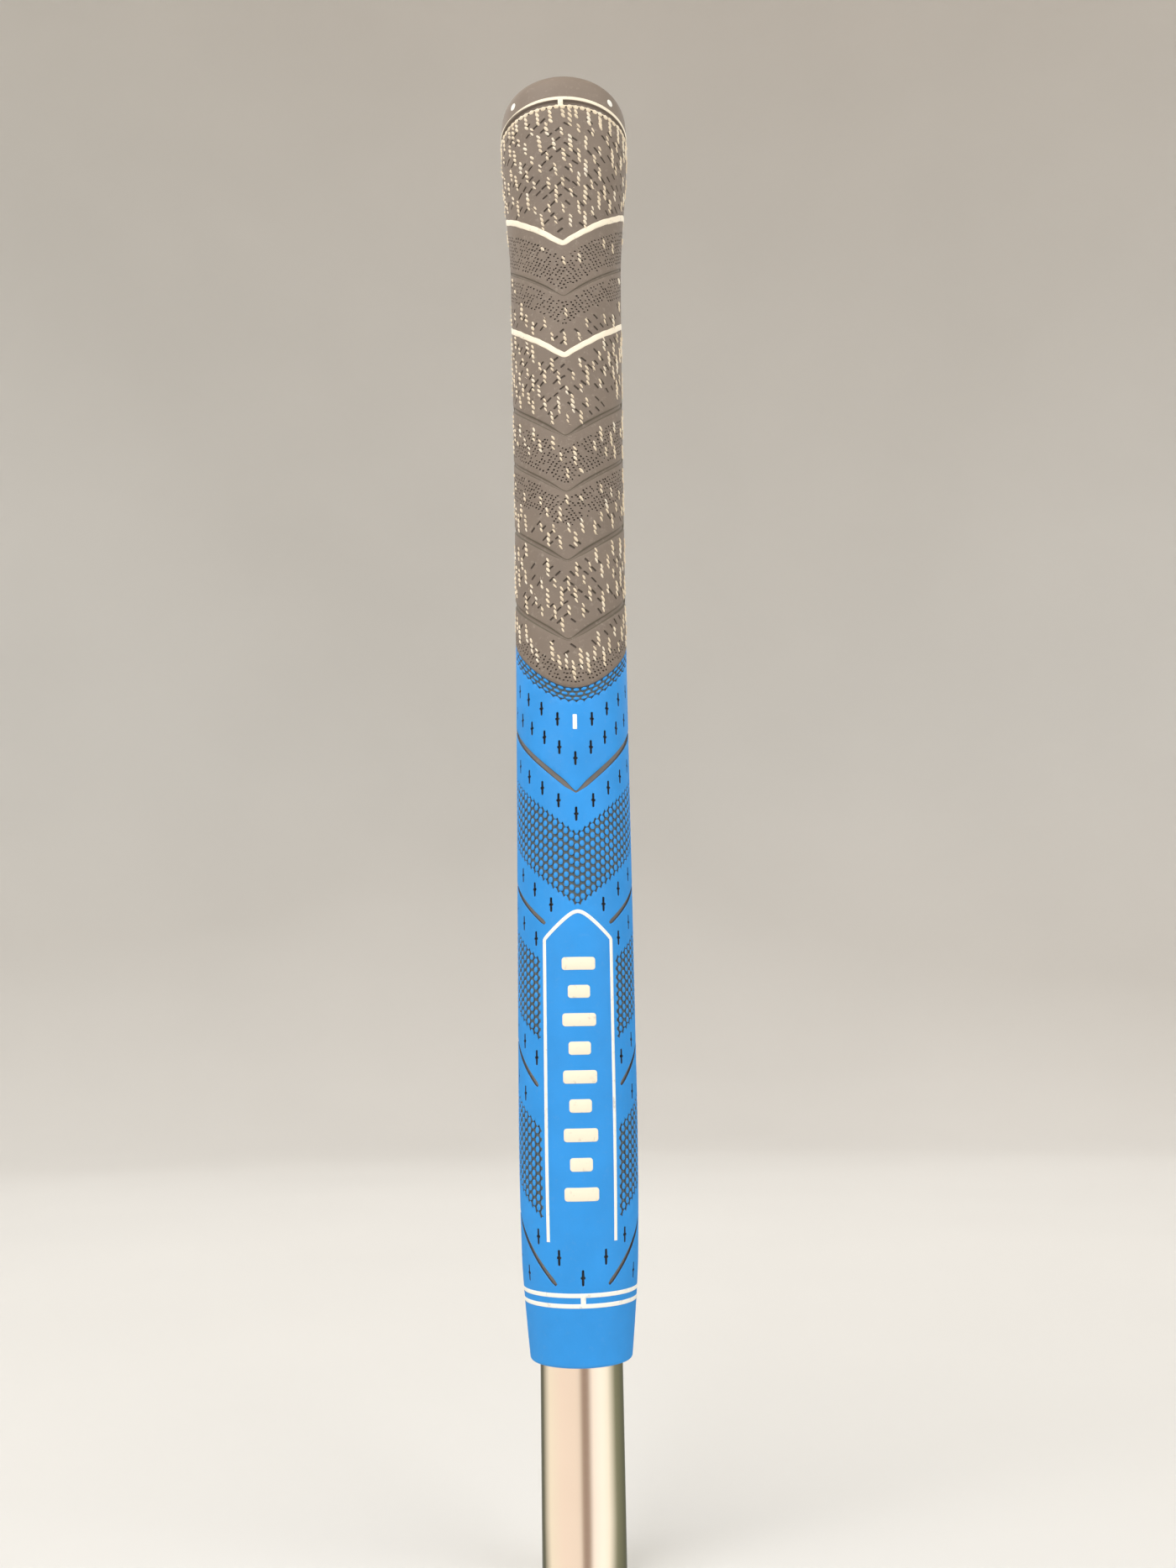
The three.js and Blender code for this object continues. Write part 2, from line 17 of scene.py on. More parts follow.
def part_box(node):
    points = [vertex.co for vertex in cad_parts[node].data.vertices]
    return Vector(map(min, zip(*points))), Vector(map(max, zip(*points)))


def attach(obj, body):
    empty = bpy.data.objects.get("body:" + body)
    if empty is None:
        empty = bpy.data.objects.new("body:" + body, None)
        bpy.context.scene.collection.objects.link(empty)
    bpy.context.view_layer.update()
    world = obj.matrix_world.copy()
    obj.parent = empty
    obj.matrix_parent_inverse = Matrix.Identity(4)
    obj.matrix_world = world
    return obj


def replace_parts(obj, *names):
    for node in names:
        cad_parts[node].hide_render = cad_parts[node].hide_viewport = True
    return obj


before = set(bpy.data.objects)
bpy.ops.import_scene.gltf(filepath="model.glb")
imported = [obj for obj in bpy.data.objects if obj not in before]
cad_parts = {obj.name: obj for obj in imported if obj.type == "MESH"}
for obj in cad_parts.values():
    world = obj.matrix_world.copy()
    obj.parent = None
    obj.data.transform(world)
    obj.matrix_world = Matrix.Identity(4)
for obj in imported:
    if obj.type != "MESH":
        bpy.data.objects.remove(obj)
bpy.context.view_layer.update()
MM = 0.001


# ---------- sizes read from the frame
def node_span(node, axis):
    low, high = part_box(node)
    return low[axis] / MM, high[axis] / MM


MOUTH_Z = node_span("lower_sleeve", 2)[0]
GRIP_TOP_Z = node_span("end_cap", 2)[1]
GRIP_LENGTH = GRIP_TOP_Z - MOUTH_Z
SHAFT_RADIUS = node_span("shaft_tube", 0)[1]
SHAFT_TOP = node_span("shaft_tube", 2)[1]

# The grip's profile, the same formula as the solids.
LOWER_HAND_RADIUS = 11.4
MOUTH_REDUCTION = 1.3
MOUTH_TAPER_LENGTH = 50
MOUTH_ROLL, MOUTH_ROLL_LENGTH = 0.7, 17
SWELL_START = 120
SWELL_RATE = 7.3e-5
FLARE_FROM, FLARE_TO, FLARE_HEIGHT = 222, 252, 1.38


def smoothstep(value, low, high):
    t = min(1, max(0, (value - low) / (high - low)))
    return t * t * (3 - 2 * t)


def grip_radius(h):
    mouth_taper = MOUTH_REDUCTION * max(0, 1 - h / MOUTH_TAPER_LENGTH) ** 2.2
    mouth_roll = MOUTH_ROLL * max(0, 1 - h / MOUTH_ROLL_LENGTH) ** 1.2
    swell = SWELL_RATE * max(0, h - SWELL_START) ** 2
    flare = FLARE_HEIGHT * smoothstep(h, FLARE_FROM, FLARE_TO)
    return LOWER_HAND_RADIUS - mouth_taper - mouth_roll + swell + flare


# ---------- the unrolled surface
QUARTER = math.pi / 2 * LOWER_HAND_RADIUS
HALF = 2 * QUARTER


def arc(angle_degrees):
    return math.radians(angle_degrees) * LOWER_HAND_RADIUS


def wrap(x, h, proud=0.0):
    angle = x / LOWER_HAND_RADIUS
    radius = grip_radius(h) + proud
    return Vector((radius * math.sin(angle), -radius * math.cos(angle), MOUTH_Z + h)) * MM


def from_centre(x):
    """Distance from the nearer of the front and back centre lines."""
    distance = abs((x + HALF) % (2 * HALF) - HALF)
    return QUARTER - abs(QUARTER - distance)


def fold(x, rounding=0.5):
    """The same distance, with the two bends of the zigzag rounded and its slopes left as they are."""
    distance = from_centre(x)
    at_centre = math.hypot(distance, rounding) - distance
    at_side = math.hypot(QUARTER - distance, rounding) - (QUARTER - distance)
    return distance + at_centre - at_side - rounding


UPPER_SHIFT = arc(-5)  # the black half's pattern and the cap are turned against the blue half
BORDER_BEND = 6


def black_chevron(h):
    """The rise of the chevron that has its point at h; they get steeper towards the butt."""
    slope = 0.7 + 0.0015 * max(0, h - 151)
    return lambda x: slope * fold(x - UPPER_SHIFT, 0.45)


def chevron_at(h):
    """The height of that chevron's line all the way round."""
    rise = black_chevron(h)
    return lambda x: h + rise(x)


def arm_share(x):
    """0 at the point of a chevron, 1 along its arms."""
    return smoothstep(from_centre(x), 0.2, 4)


def blue_chevron(x):
    return 0.8 * fold(x, 0.35)


def main_chevron(x):
    return 0.87 * fold(x, 0.15)


def border_curve(x):
    return BORDER_BEND * (math.hypot(1, fold(x, 0.1) / BORDER_BEND) - 1)


# ---------- mesh building
class Sheet:
    """Collects points and faces drawn on the unrolled grip, then wraps them into one mesh."""

    def __init__(self):
        self.points = []
        self.flat = []
        self.faces = []
        self.slots = []

    def point(self, x, h, proud=0.0):
        self.points.append(wrap(x, h, proud))
        self.flat.append((x, h))
        return len(self.points) - 1

    def ring(self, outline, proud):
        return [self.point(x, h, proud) for x, h in outline]

    def face(self, indices, slot=0):
        self.faces.append(tuple(indices))
        self.slots.append(slot)

    def stack(self, rings):
        """Joins closed rings, each above the last, over a closed foot."""
        self.face(rings[0][::-1])
        for below, above in zip(rings, rings[1:]):
            self.strip(below, above, closed=True)

    def strip(self, below, above, slot=0, closed=False):
        count = len(below)
        for i in range(count if closed else count - 1):
            j = (i + 1) % count
            self.face((below[i], below[j], above[j], above[i]), slot)

    def pair_fill(self, ring, slot=0):
        """Fills an outline whose first half faces its second half, point against point."""
        count = len(ring)
        for i in range(count // 2 - 1):
            self.face((ring[i], ring[i + 1], ring[count - 2 - i], ring[count - 1 - i]), slot)

    def build(self, name, looks, slot_name, sharp=50):
        mesh = bpy.data.meshes.new(name)
        mesh.from_pydata(self.points, [], self.faces)
        uv = mesh.uv_layers.new(name="surface")
        for loop in mesh.loops:
            x, h = self.flat[loop.vertex_index]
            uv.data[loop.index].uv = (x / 10, h / 10)
        for polygon, slot in zip(mesh.polygons, self.slots):
            polygon.material_index = slot
        return finish_piece(name, mesh, looks, sharp)


def add_object(name, data):
    made = bpy.data.objects.new(name, data)
    bpy.context.scene.collection.objects.link(made)
    return made


def finish_piece(name, mesh, looks, sharp=50, merge=True):
    piece = add_object(name, mesh)
    for look in looks:
        mesh.materials.append(MATERIALS[look])
    if merge:
        weld(mesh)
    mesh.validate()
    mesh.shade_smooth()
    mesh.set_sharp_from_angle(angle=math.radians(sharp))
    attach(piece, "root")
    return piece


def weld(mesh):
    work = bmesh.new()
    work.from_mesh(mesh)
    bmesh.ops.remove_doubles(work, verts=work.verts, dist=2e-7)
    loose = [v for v in work.verts if not v.link_faces]
    bmesh.ops.delete(work, geom=loose, context="VERTS")
    work.to_mesh(mesh)
    work.free()


def around(columns):
    return [-HALF + 2 * HALF * i / columns for i in range(columns + 1)]


def circle(corners, start=0.0):
    """The cosines and sines of evenly spaced turns, counter-clockwise."""
    turns = (start + 2 * math.pi * i / corners for i in range(corners))
    return [(math.cos(turn), math.sin(turn)) for turn in turns]


def edge_ring(sheet, xs, curve, proud=0.0):
    return [sheet.point(x, curve(x), proud) for x in xs]


SHOULDER_DROP = 0.07  # how far the rounded edge of a cut lies below the skin


class Cut:
    """A cut in the skin. outline(grow) gives its points, grown outwards by `grow`, counter-clockwise."""

    def __init__(self, outline, depth, lip=0.1, wall=1, floor=1):
        self.outline = outline
        self.depth = depth
        self.lip = lip
        self.wall = wall
        self.floor = floor


def skin(sheet, low, high, cuts, spacing, columns):
    """Triangulates the skin between two curves round the grip, leaving out the cuts and lining them."""
    xs = around(columns)
    seam_steps = max(2, round((high(HALF) - low(HALF)) / spacing))
    seam = [low(HALF) + (high(HALF) - low(HALF)) * i / seam_steps for i in range(1, seam_steps)]
    flat = [(x, low(x)) for x in xs] + [(HALF, h) for h in seam]
    flat += [(x, high(x)) for x in reversed(xs)] + [(-HALF, h) for h in reversed(seam)]
    loops = [list(range(len(flat)))]
    for cut in cuts:
        ring = cut.outline(cut.lip)
        loops.append(list(range(len(flat), len(flat) + len(ring))))
        flat += ring
    lowest = min(low(x) for x in xs)
    highest = max(high(x) for x in xs)
    wide = round(2 * HALF / spacing)
    clear = 0.4 * spacing
    for row in range(int((highest - lowest) / spacing) + 1):
        h = lowest + row * spacing
        for i in range(wide):
            x = -HALF + 2 * HALF * (i + 0.5 * (row % 2) + 0.25) / wide
            if low(x) + clear < h < high(x) - clear and abs(x) < HALF - 0.2:
                flat.append((x, h))
    verts, _, faces, origin, _, inside = delaunay_2d_cdt(
        [Vector(p) for p in flat], [], loops, 1, 1e-5, True)
    placed = [sheet.point(v.x, v.y) for v in verts]
    made = {old: placed[new] for new, olds in enumerate(origin) for old in olds}
    for face, owners in zip(faces, inside):
        if set(owners) == {0}:
            sheet.face([placed[i] for i in face])
    for cut, loop in zip(cuts, loops[1:]):
        line_cut(sheet, cut, [made[i] for i in loop])
    count = len(xs)
    top = loops[0][count + len(seam):count + len(seam) + count]
    return [made[i] for i in loops[0][:count]], [made[i] for i in reversed(top)]


def line_cut(sheet, cut, rim):
    if cut.lip:
        shoulder = sheet.ring(cut.outline(0), -SHOULDER_DROP)
        sheet.strip(shoulder, rim, closed=True)
        rim = shoulder
    foot = sheet.ring(cut.outline(-0.02), -cut.depth)
    sheet.strip(foot, rim, cut.wall, closed=True)
    sheet.pair_fill(foot, cut.floor)


def ring_groove(sheet, rim_low, rim_high, xs, low, high, depth, wall, floor, sections=(0.1, 0.16)):
    """Joins two skins with a groove that runs all the way round, from curve low to curve high.

    depth(x) is the groove's depth; sections are the shares of its width where the rounded shoulder
    and the wall end.
    """

    def across(share, sink):
        return [sheet.point(x, low(x) + (high(x) - low(x)) * share, -sink * depth(x)) for x in xs]

    shoulder, foot = sections
    shoulder_sink = 0.16
    shoulder_low = across(shoulder, shoulder_sink)
    foot_low = across(foot, 1)
    foot_high = across(1 - foot, 1)
    shoulder_high = across(1 - shoulder, shoulder_sink)
    sheet.strip(rim_low, shoulder_low)
    sheet.strip(shoulder_low, foot_low, wall)
    sheet.strip(foot_low, foot_high, floor)
    sheet.strip(foot_high, shoulder_high, wall)
    sheet.strip(shoulder_high, rim_high)


# ---------- outlines
def slit_outline(x, h, width=0.46, height=2.75, bulge=0.2, lean=0.0):
    """An upright slit with rounded ends and a small nub at its middle."""
    heights = [-0.5, -0.46, -0.3, -0.085, -0.06, 0.06, 0.085, 0.3, 0.46, 0.5]
    widths = [0.45, 0.9, 1, 1, 1, 1, 1, 1, 0.9, 0.45]

    def outline(grow):
        right = []
        for y, w in zip(heights, widths):
            nub = bulge if abs(y) < 0.08 else 0
            half = w * (width / 2 + grow) + nub
            right.append((half, y * (height + 2 * grow)))
        left = [(-a, b) for a, b in reversed(right)]
        turn = Matrix.Rotation(lean, 2)
        return [(x + p.x, h + p.y) for p in (turn @ Vector(q) for q in right + left)]

    return outline


def pit_outline(x, h, width, height):
    """A small six-sided pit."""

    def outline(grow):
        return [(x + (width / 2 + grow) * c, h + (height / 2 + grow) * s)
                for c, s in circle(6, math.radians(30))]

    return outline


def sides_of(path, index, closed=False):
    """The direction across a path at one of its points, and along it."""
    last = len(path) - 1
    before = Vector(path[index - 1] if index else path[0])
    after = Vector(path[index + 1] if index < last else path[last])
    if closed and index == 0:
        before = Vector(path[last]) - Vector((2 * HALF, 0))
    if closed and index == last:
        after = Vector(path[0]) + Vector((2 * HALF, 0))
    along = (after - before).normalized()
    return Vector((-along.y, along.x)), along


def band_outline(path, width):
    """A groove along a path of (x, h) points, a little narrower at its two ends."""

    def outline(grow):
        lower, upper = [], []
        for i, point in enumerate(path):
            side, along = sides_of(path, i)
            end = (i == len(path) - 1) - (i == 0)
            half = (width / 2 + grow) * (0.6 if end else 1)
            centre = Vector(point) + along * grow * end
            lower.append(tuple(centre - side * half))
            upper.append(tuple(centre + side * half))
        return lower + upper[::-1]

    return outline


# ---------- node helpers for materials
class Nodes:
    """Builds the node tree of a material or a world."""

    def __init__(self, owner):
        owner.use_nodes = True
        self.owner = owner
        self.tree = owner.node_tree
        self.shader = self.tree.nodes.get("Principled BSDF")

    def add(self, kind, **values):
        node = self.tree.nodes.new(kind)
        for key, value in values.items():
            if key in node.inputs:
                node.inputs[key].default_value = value
            else:
                setattr(node, key, value)
        return node

    def link(self, out_socket, in_socket):
        self.tree.links.new(out_socket, in_socket)

    def place(self, kind="Object"):
        return self.add("ShaderNodeTexCoord").outputs[kind]

    def noise(self, scale, detail=4.0, roughness=0.55, vector=None, stretch=None):
        node = self.add("ShaderNodeTexNoise", Scale=scale, Detail=detail, Roughness=roughness)
        source = vector or self.place()
        if stretch:
            mapping = self.add("ShaderNodeMapping")
            mapping.inputs["Scale"].default_value = stretch
            self.link(source, mapping.inputs["Vector"])
            source = mapping.outputs["Vector"]
        self.link(source, node.inputs["Vector"])
        return node.outputs["Fac"]

    def ramp(self, factor, stops):
        node = self.add("ShaderNodeValToRGB")
        elements = node.color_ramp.elements
        while len(elements) < len(stops):
            elements.new(0.5)
        for element, (position, colour) in zip(elements, stops):
            element.position = position
            element.color = (*colour, 1)
        self.link(factor, node.inputs["Fac"])
        return node.outputs["Color"]

    def mix(self, factor, first, second):
        node = self.add("ShaderNodeMix", data_type="RGBA")
        sockets = (node.inputs["Factor"], node.inputs[6], node.inputs[7])
        for socket, value in zip(sockets, (factor, first, second)):
            if hasattr(value, "is_linked"):
                self.link(value, socket)
            elif isinstance(value, (int, float)):
                socket.default_value = value
            else:
                socket.default_value = (*value, 1)
        return node.outputs[2]

    def spread(self, factor, low, high):
        node = self.add("ShaderNodeMapRange")
        node.inputs["To Min"].default_value = low
        node.inputs["To Max"].default_value = high
        self.link(factor, node.inputs["Value"])
        return node.outputs["Result"]

    def bump(self, layers):
        """layers is [(height socket, strength, distance in metres)], chained."""
        normal = None
        for height, strength, distance in layers:
            node = self.add("ShaderNodeBump", Strength=strength, Distance=distance)
            self.link(height, node.inputs["Height"])
            if normal:
                self.link(normal, node.inputs["Normal"])
            normal = node.outputs["Normal"]
        self.link(normal, self.shader.inputs["Normal"])

    def set(self, **values):
        for key, value in values.items():
            self.shader.inputs[key.replace("_", " ")].default_value = value


def tinted(colour, factor):
    return tuple(min(1, c * factor) for c in colour)


def rubber(name, colour, dust, roughness=(0.5, 0.66), grain=0.25, dust_colour=(0.62, 0.56, 0.5)):
    """Moulded rubber: fine grain, cloudy tone, a little dust and slightly shinier handled patches."""
    n = Nodes(bpy.data.materials.new(name))
    cloud = n.noise(90, 3)
    fine = n.noise(2600, 3)
    base = n.ramp(cloud, [(0.3, tinted(colour, 0.93)), (0.7, tinted(colour, 1.06))])
    specks = n.ramp(n.noise(900, 6, 0.7), [(0.56, (0, 0, 0)), (0.72, (dust, dust, dust))])
    n.link(n.mix(specks, base, dust_colour), n.shader.inputs["Base Color"])
    n.link(n.spread(n.noise(140, 5), *roughness), n.shader.inputs["Roughness"])
    n.bump([(fine, grain, 0.00006), (n.noise(420, 4), 0.12, 0.0002)])
    n.set(IOR=1.5, Specular_IOR_Level=0.42)
    return n.owner


def cotton(name, colour):
    """Cotton thread: twisted fibres along the thread, tone changing from thread to thread."""
    n = Nodes(bpy.data.materials.new(name))
    uv = n.add("ShaderNodeUVMap", uv_map="surface").outputs["UV"]
    tone = n.noise(330, 2)
    base = n.ramp(tone, [(0.3, tinted(colour, 0.84)), (0.5, colour), (0.72, (0.97, 0.9, 0.77))])
    fibre = n.noise(90, 4, 0.7, vector=uv, stretch=(9, 1, 1))
    n.link(n.mix(n.spread(fibre, 0, 0.22), base, tinted(colour, 0.45)), n.shader.inputs["Base Color"])
    n.link(n.spread(fibre, 0.75, 0.95), n.shader.inputs["Roughness"])
    n.bump([(fibre, 0.5, 0.0001), (n.noise(3000, 4), 0.35, 0.00005)])
    n.set(Sheen_Weight=0.35, Sheen_Roughness=0.5)
    return n.owner


def paint(name, colour):
    """Paint filled into rubber: slightly chalky, rubbed thin in small spots."""
    n = Nodes(bpy.data.materials.new(name))
    worn = n.ramp(n.noise(700, 6, 0.65), [(0.3, tinted(colour, 0.72)), (0.42, colour)])
    n.link(n.mix(n.spread(n.noise(60, 2), 0, 0.14), worn, tinted(colour, 0.8)), n.shader.inputs["Base Color"])
    n.link(n.spread(n.noise(500, 4), 0.42, 0.62), n.shader.inputs["Roughness"])
    n.bump([(n.noise(1300, 5), 0.3, 0.00008)])
    n.set(Specular_IOR_Level=0.4)
    return n.owner


def steel(name):
    """Satin shaft steel: fine circumferential polish lines under a few lengthwise handling scratches."""
    n = Nodes(bpy.data.materials.new(name))
    rings = n.noise(90, 4, 0.6, stretch=(1, 1, 40))
    lengthwise = n.noise(500, 3, 0.6, stretch=(1, 1, 0.02))
    base = n.ramp(n.noise(40, 3), [(0.3, (0.90, 0.85, 0.79)), (0.7, (0.94, 0.90, 0.84))])
    n.link(base, n.shader.inputs["Base Color"])
    n.link(n.spread(rings, 0.15, 0.24), n.shader.inputs["Roughness"])
    n.bump([(rings, 0.04, 0.00001), (lengthwise, 0.08, 0.00001)])
    n.set(Metallic=1.0)
    return n.owner


BLUE = (0.022, 0.295, 0.79)
BLACK = (0.205, 0.165, 0.135)
MATERIALS = {
    "blue": rubber("blue_rubber", BLUE, 0.035, grain=0.2),
    "black": rubber("black_rubber", BLACK, 0.22, roughness=(0.6, 0.8), grain=0.5),
    "cap": rubber("cap_rubber", tinted(BLACK, 1.06), 0.12, roughness=(0.5, 0.7), grain=0.3),
    # darker copy of the black rubber, with a little dust, for the black sleeve's groove walls: painted shade
    # in the grooves
    "groove": rubber("black_groove_painted_shade", (0.125, 0.107, 0.08), 0.08, roughness=(0.65, 0.85)),
    # much darker copy of the black rubber for the walls and floors of the pits and nicks: painted shade in
    # them
    "pit_shade": rubber("pit_painted_shade", tinted(BLACK, 0.42), 0.05, roughness=(0.7, 0.9)),
    "dark": rubber("cut_rubber", (0.08, 0.085, 0.095), 0.08, roughness=(0.7, 0.9)),
    "floor": rubber("groove_rubber", (0.2, 0.185, 0.175), 0.12, roughness=(0.65, 0.85)),
    "mesh": rubber("mesh_rubber", (0.125, 0.165, 0.19), 0.06, roughness=(0.6, 0.8)),
    "cotton": cotton("cotton_cord", (0.94, 0.8, 0.6)),
    "white": paint("white_paint", (0.95, 0.94, 0.89)),
    "cream": paint("cream_paint", (0.94, 0.85, 0.69)),
    "steel": steel("shaft_steel"),
    "tape": cotton("tape_paper", (0.8, 0.72, 0.55)),
}

# ---------- places on the grip, as on the solids
LIP_RADIUS = 0.6
BORDER = 125.3
LACE_FROM = 122.6
MESH_FROM, MESH_TO = 82.7, 96.3
MAIN_GROOVE, MAIN_WIDTH, GROOVE_DEPTH = 104.4, 1.65, 0.45
MOUTH_LINES = (10.7, 12.5)
MOUTH_LINE_WIDTH = 0.75
CHEVRONS = {"chevron_line_lower": 197.1, "chevron_line_upper": 223.0}
CHEVRON_WIDTH = 1.15
SLEEVE_TOP = 254.4
MESH_DEPTH = 0.42
BLUE_COLUMNS, BLUE_SPACING = 480, 0.85
BLACK_COLUMNS, BLACK_SPACING = 240, 0.95
MESH_COLUMNS = 68
CELL_WIDTH = 2 * HALF / MESH_COLUMNS
CELL_HEIGHT = 1.7
LACE_COLUMNS, LACE_ROWS = 46, 3
LACE_CELL_WIDTH = 2 * HALF / LACE_COLUMNS
LACE_CELL_HEIGHT = 0.9
SLIT_DEPTH = 0.75
SLIT_REACH = 1.7  # how far a slit's middle stays from the edges of its skin
SIDE_GROOVE_WIDTH = 0.8
TAPED_SHAFT_RADIUS = 8.0
MOUTH_THROAT = 1.2  # how far the inside of the mouth is drawn

# Each row of slits: first angle, pitch in degrees, height, climb from slit to slit, number.
SLIT_ROWS = [
    (17.4, 17.4, 119.1, 2.5, 4), (0, 15.8, 111.1, 2.3, 6), (0, 17.3, 100.1, 2.75, 5),
    (26.2, 19.1, 82.75, 3.2, 3), (44, 19, 76.5, 3.25, 3), (44.5, 18.5, 54.3, 3.1, 3),
    (44.9, 17.5, 44.7, 3.1, 3), (0, 23, 15.5, 3.45, 4), (62.5, 20, 15.8, 2.6, 2),
]
# Each side groove: the angle where it starts, its height there, its slope.
SIDE_GROOVES = [(33, 79.2, 0.83), (43, 49.1, 1.0), (26.5, 14.2, 1.0)]
SIDE_PANELS = [("upper", 57.8, 72.2), ("lower", 25.8, 41.2)]
PANEL_EDGE = arc(39.2)
PANEL_SLOPE = 0.75
PANEL_COLUMNS = 18
PANEL_CELL_WIDTH = (HALF - 2 * PANEL_EDGE) / PANEL_COLUMNS
PANEL_CELL_HEIGHT = 1.65


def slit_cuts():
    cuts = []
    for first, pitch, h, rise, count in SLIT_ROWS:
        for step in range(count):
            angle = first + step * pitch
            if angle > 90:
                continue
            for x in {round(v, 4) for v in (arc(angle), -arc(angle), HALF - arc(angle), arc(angle) - HALF)}:
                if abs(x) > HALF - 0.5:
                    continue
                at = h + step * rise
                cuts.append((x, at, Cut(slit_outline(x, at), SLIT_DEPTH)))
    return cuts


def side_path(start, h, slope, side, steps=40):
    """A line that climbs from `start` degrees to the side of the grip and comes down behind it."""
    begin = arc(start)
    end = HALF - begin
    path = []
    for i in range(steps + 1):
        x = begin + (end - begin) * i / steps
        path.append((x, h + slope * (fold(x, 0.6) - fold(begin, 0.6))))
    if side < 0:
        path = [(-x, y) for x, y in reversed(path)]
    return path


def tooth(x, width=CELL_WIDTH, depth=0.85):
    """How far a mesh field reaches out past its cells: a pointed tooth between each two columns."""
    return depth * (1 - abs(math.cos(math.pi * x / width)) ** 0.7) - 0.1


def panel_climb(x):
    return PANEL_SLOPE * (fold(x, 0.35) - fold(PANEL_EDGE, 0.35))


def panel_outline_points(bottom, top, side):
    """The edge of a side mesh field, toothed between its columns of cells."""
    lines = 6 * PANEL_COLUMNS

    def outline(grow):
        lower, upper = [], []
        for i in range(lines + 1):
            x = PANEL_EDGE - grow + (HALF - 2 * PANEL_EDGE + 2 * grow) * i / lines
            reach = grow + tooth(x - PANEL_EDGE, PANEL_CELL_WIDTH)
            lower.append((x, bottom + panel_climb(x) - reach))
            upper.append((x, top + panel_climb(x) + reach))
        points = lower + upper[::-1]
        if side < 0:
            points = [(-x, h) for x, h in lower[::-1]] + [(-x, h) for x, h in upper]
        return points

    return outline


def cell(sheet, x, h, width, height, follow=0.0, top_at=0.0):
    """One raised blue cell of the mesh, a rounded lozenge standing on the grey floor.

    follow is the slope of the curve that the cell leans along.
    """
    squareness = 0.9

    def ring(grow, proud):
        points = []
        for c, s in circle(12):
            across = (width / 2 + grow) * math.copysign(abs(c) ** squareness, c)
            up = (height / 2 + grow) * math.copysign(abs(s) ** squareness, s)
            points.append((x + across, h + up + across * follow))
        return sheet.ring(points, proud)

    top = ring(-0.08, top_at)
    shoulder = ring(0.0, -0.08)
    foot = ring(0.05, -MESH_DEPTH)
    sheet.face(top, 0)
    sheet.strip(shoulder, top, 0, closed=True)
    sheet.strip(foot, shoulder, 3, closed=True)


def mesh_cells(sheet):
    """Columns of cells; the chevron's slope staggers each column against the next by about half a cell."""
    for column in range(-MESH_COLUMNS // 2, MESH_COLUMNS // 2):
        x = CELL_WIDTH * column
        low = MESH_FROM + blue_chevron(x)
        high = MESH_TO + blue_chevron(x)
        count = round((high - low) / CELL_HEIGHT)
        for row in range(count):
            cell(sheet, x, low + (row + 0.5) * (high - low) / count, CELL_WIDTH - 0.12, CELL_HEIGHT - 0.5)


def panel_cells(sheet, bottom, top):
    """The cells of a pair of side mesh fields; the columns at their ends are half taken in by the skin."""
    rows = round((top - bottom) / PANEL_CELL_HEIGHT)
    pitch = (top - bottom) / rows
    for side in (1, -1):
        for column in range(PANEL_COLUMNS + 1):
            x = PANEL_EDGE + column * PANEL_CELL_WIDTH
            at_end = column in (0, PANEL_COLUMNS)
            for row in range(rows):
                h = bottom + panel_climb(x) + (row + 0.5) * pitch
                cell(sheet, side * x, h, PANEL_CELL_WIDTH - 0.2, pitch - 0.5, 0.0, 0.012 if at_end else 0.0)


def lace_foot(x):
    return LACE_FROM + border_curve(x)


def lace_cells(sheet):
    """Staggered rows of wide cells; the row under the black sleeve is cut off by its edge."""
    for row in range(LACE_ROWS):
        for k in range(LACE_COLUMNS):
            x = -HALF + LACE_CELL_WIDTH * (k + 0.5 * (row % 2) + 0.25)
            slope = (lace_foot(x + 0.1) - lace_foot(x - 0.1)) / 0.2
            h = lace_foot(x) + 0.5 + row * LACE_CELL_HEIGHT
            cell(sheet, x, h, LACE_CELL_WIDTH - 0.38, LACE_CELL_HEIGHT - 0.3, slope)


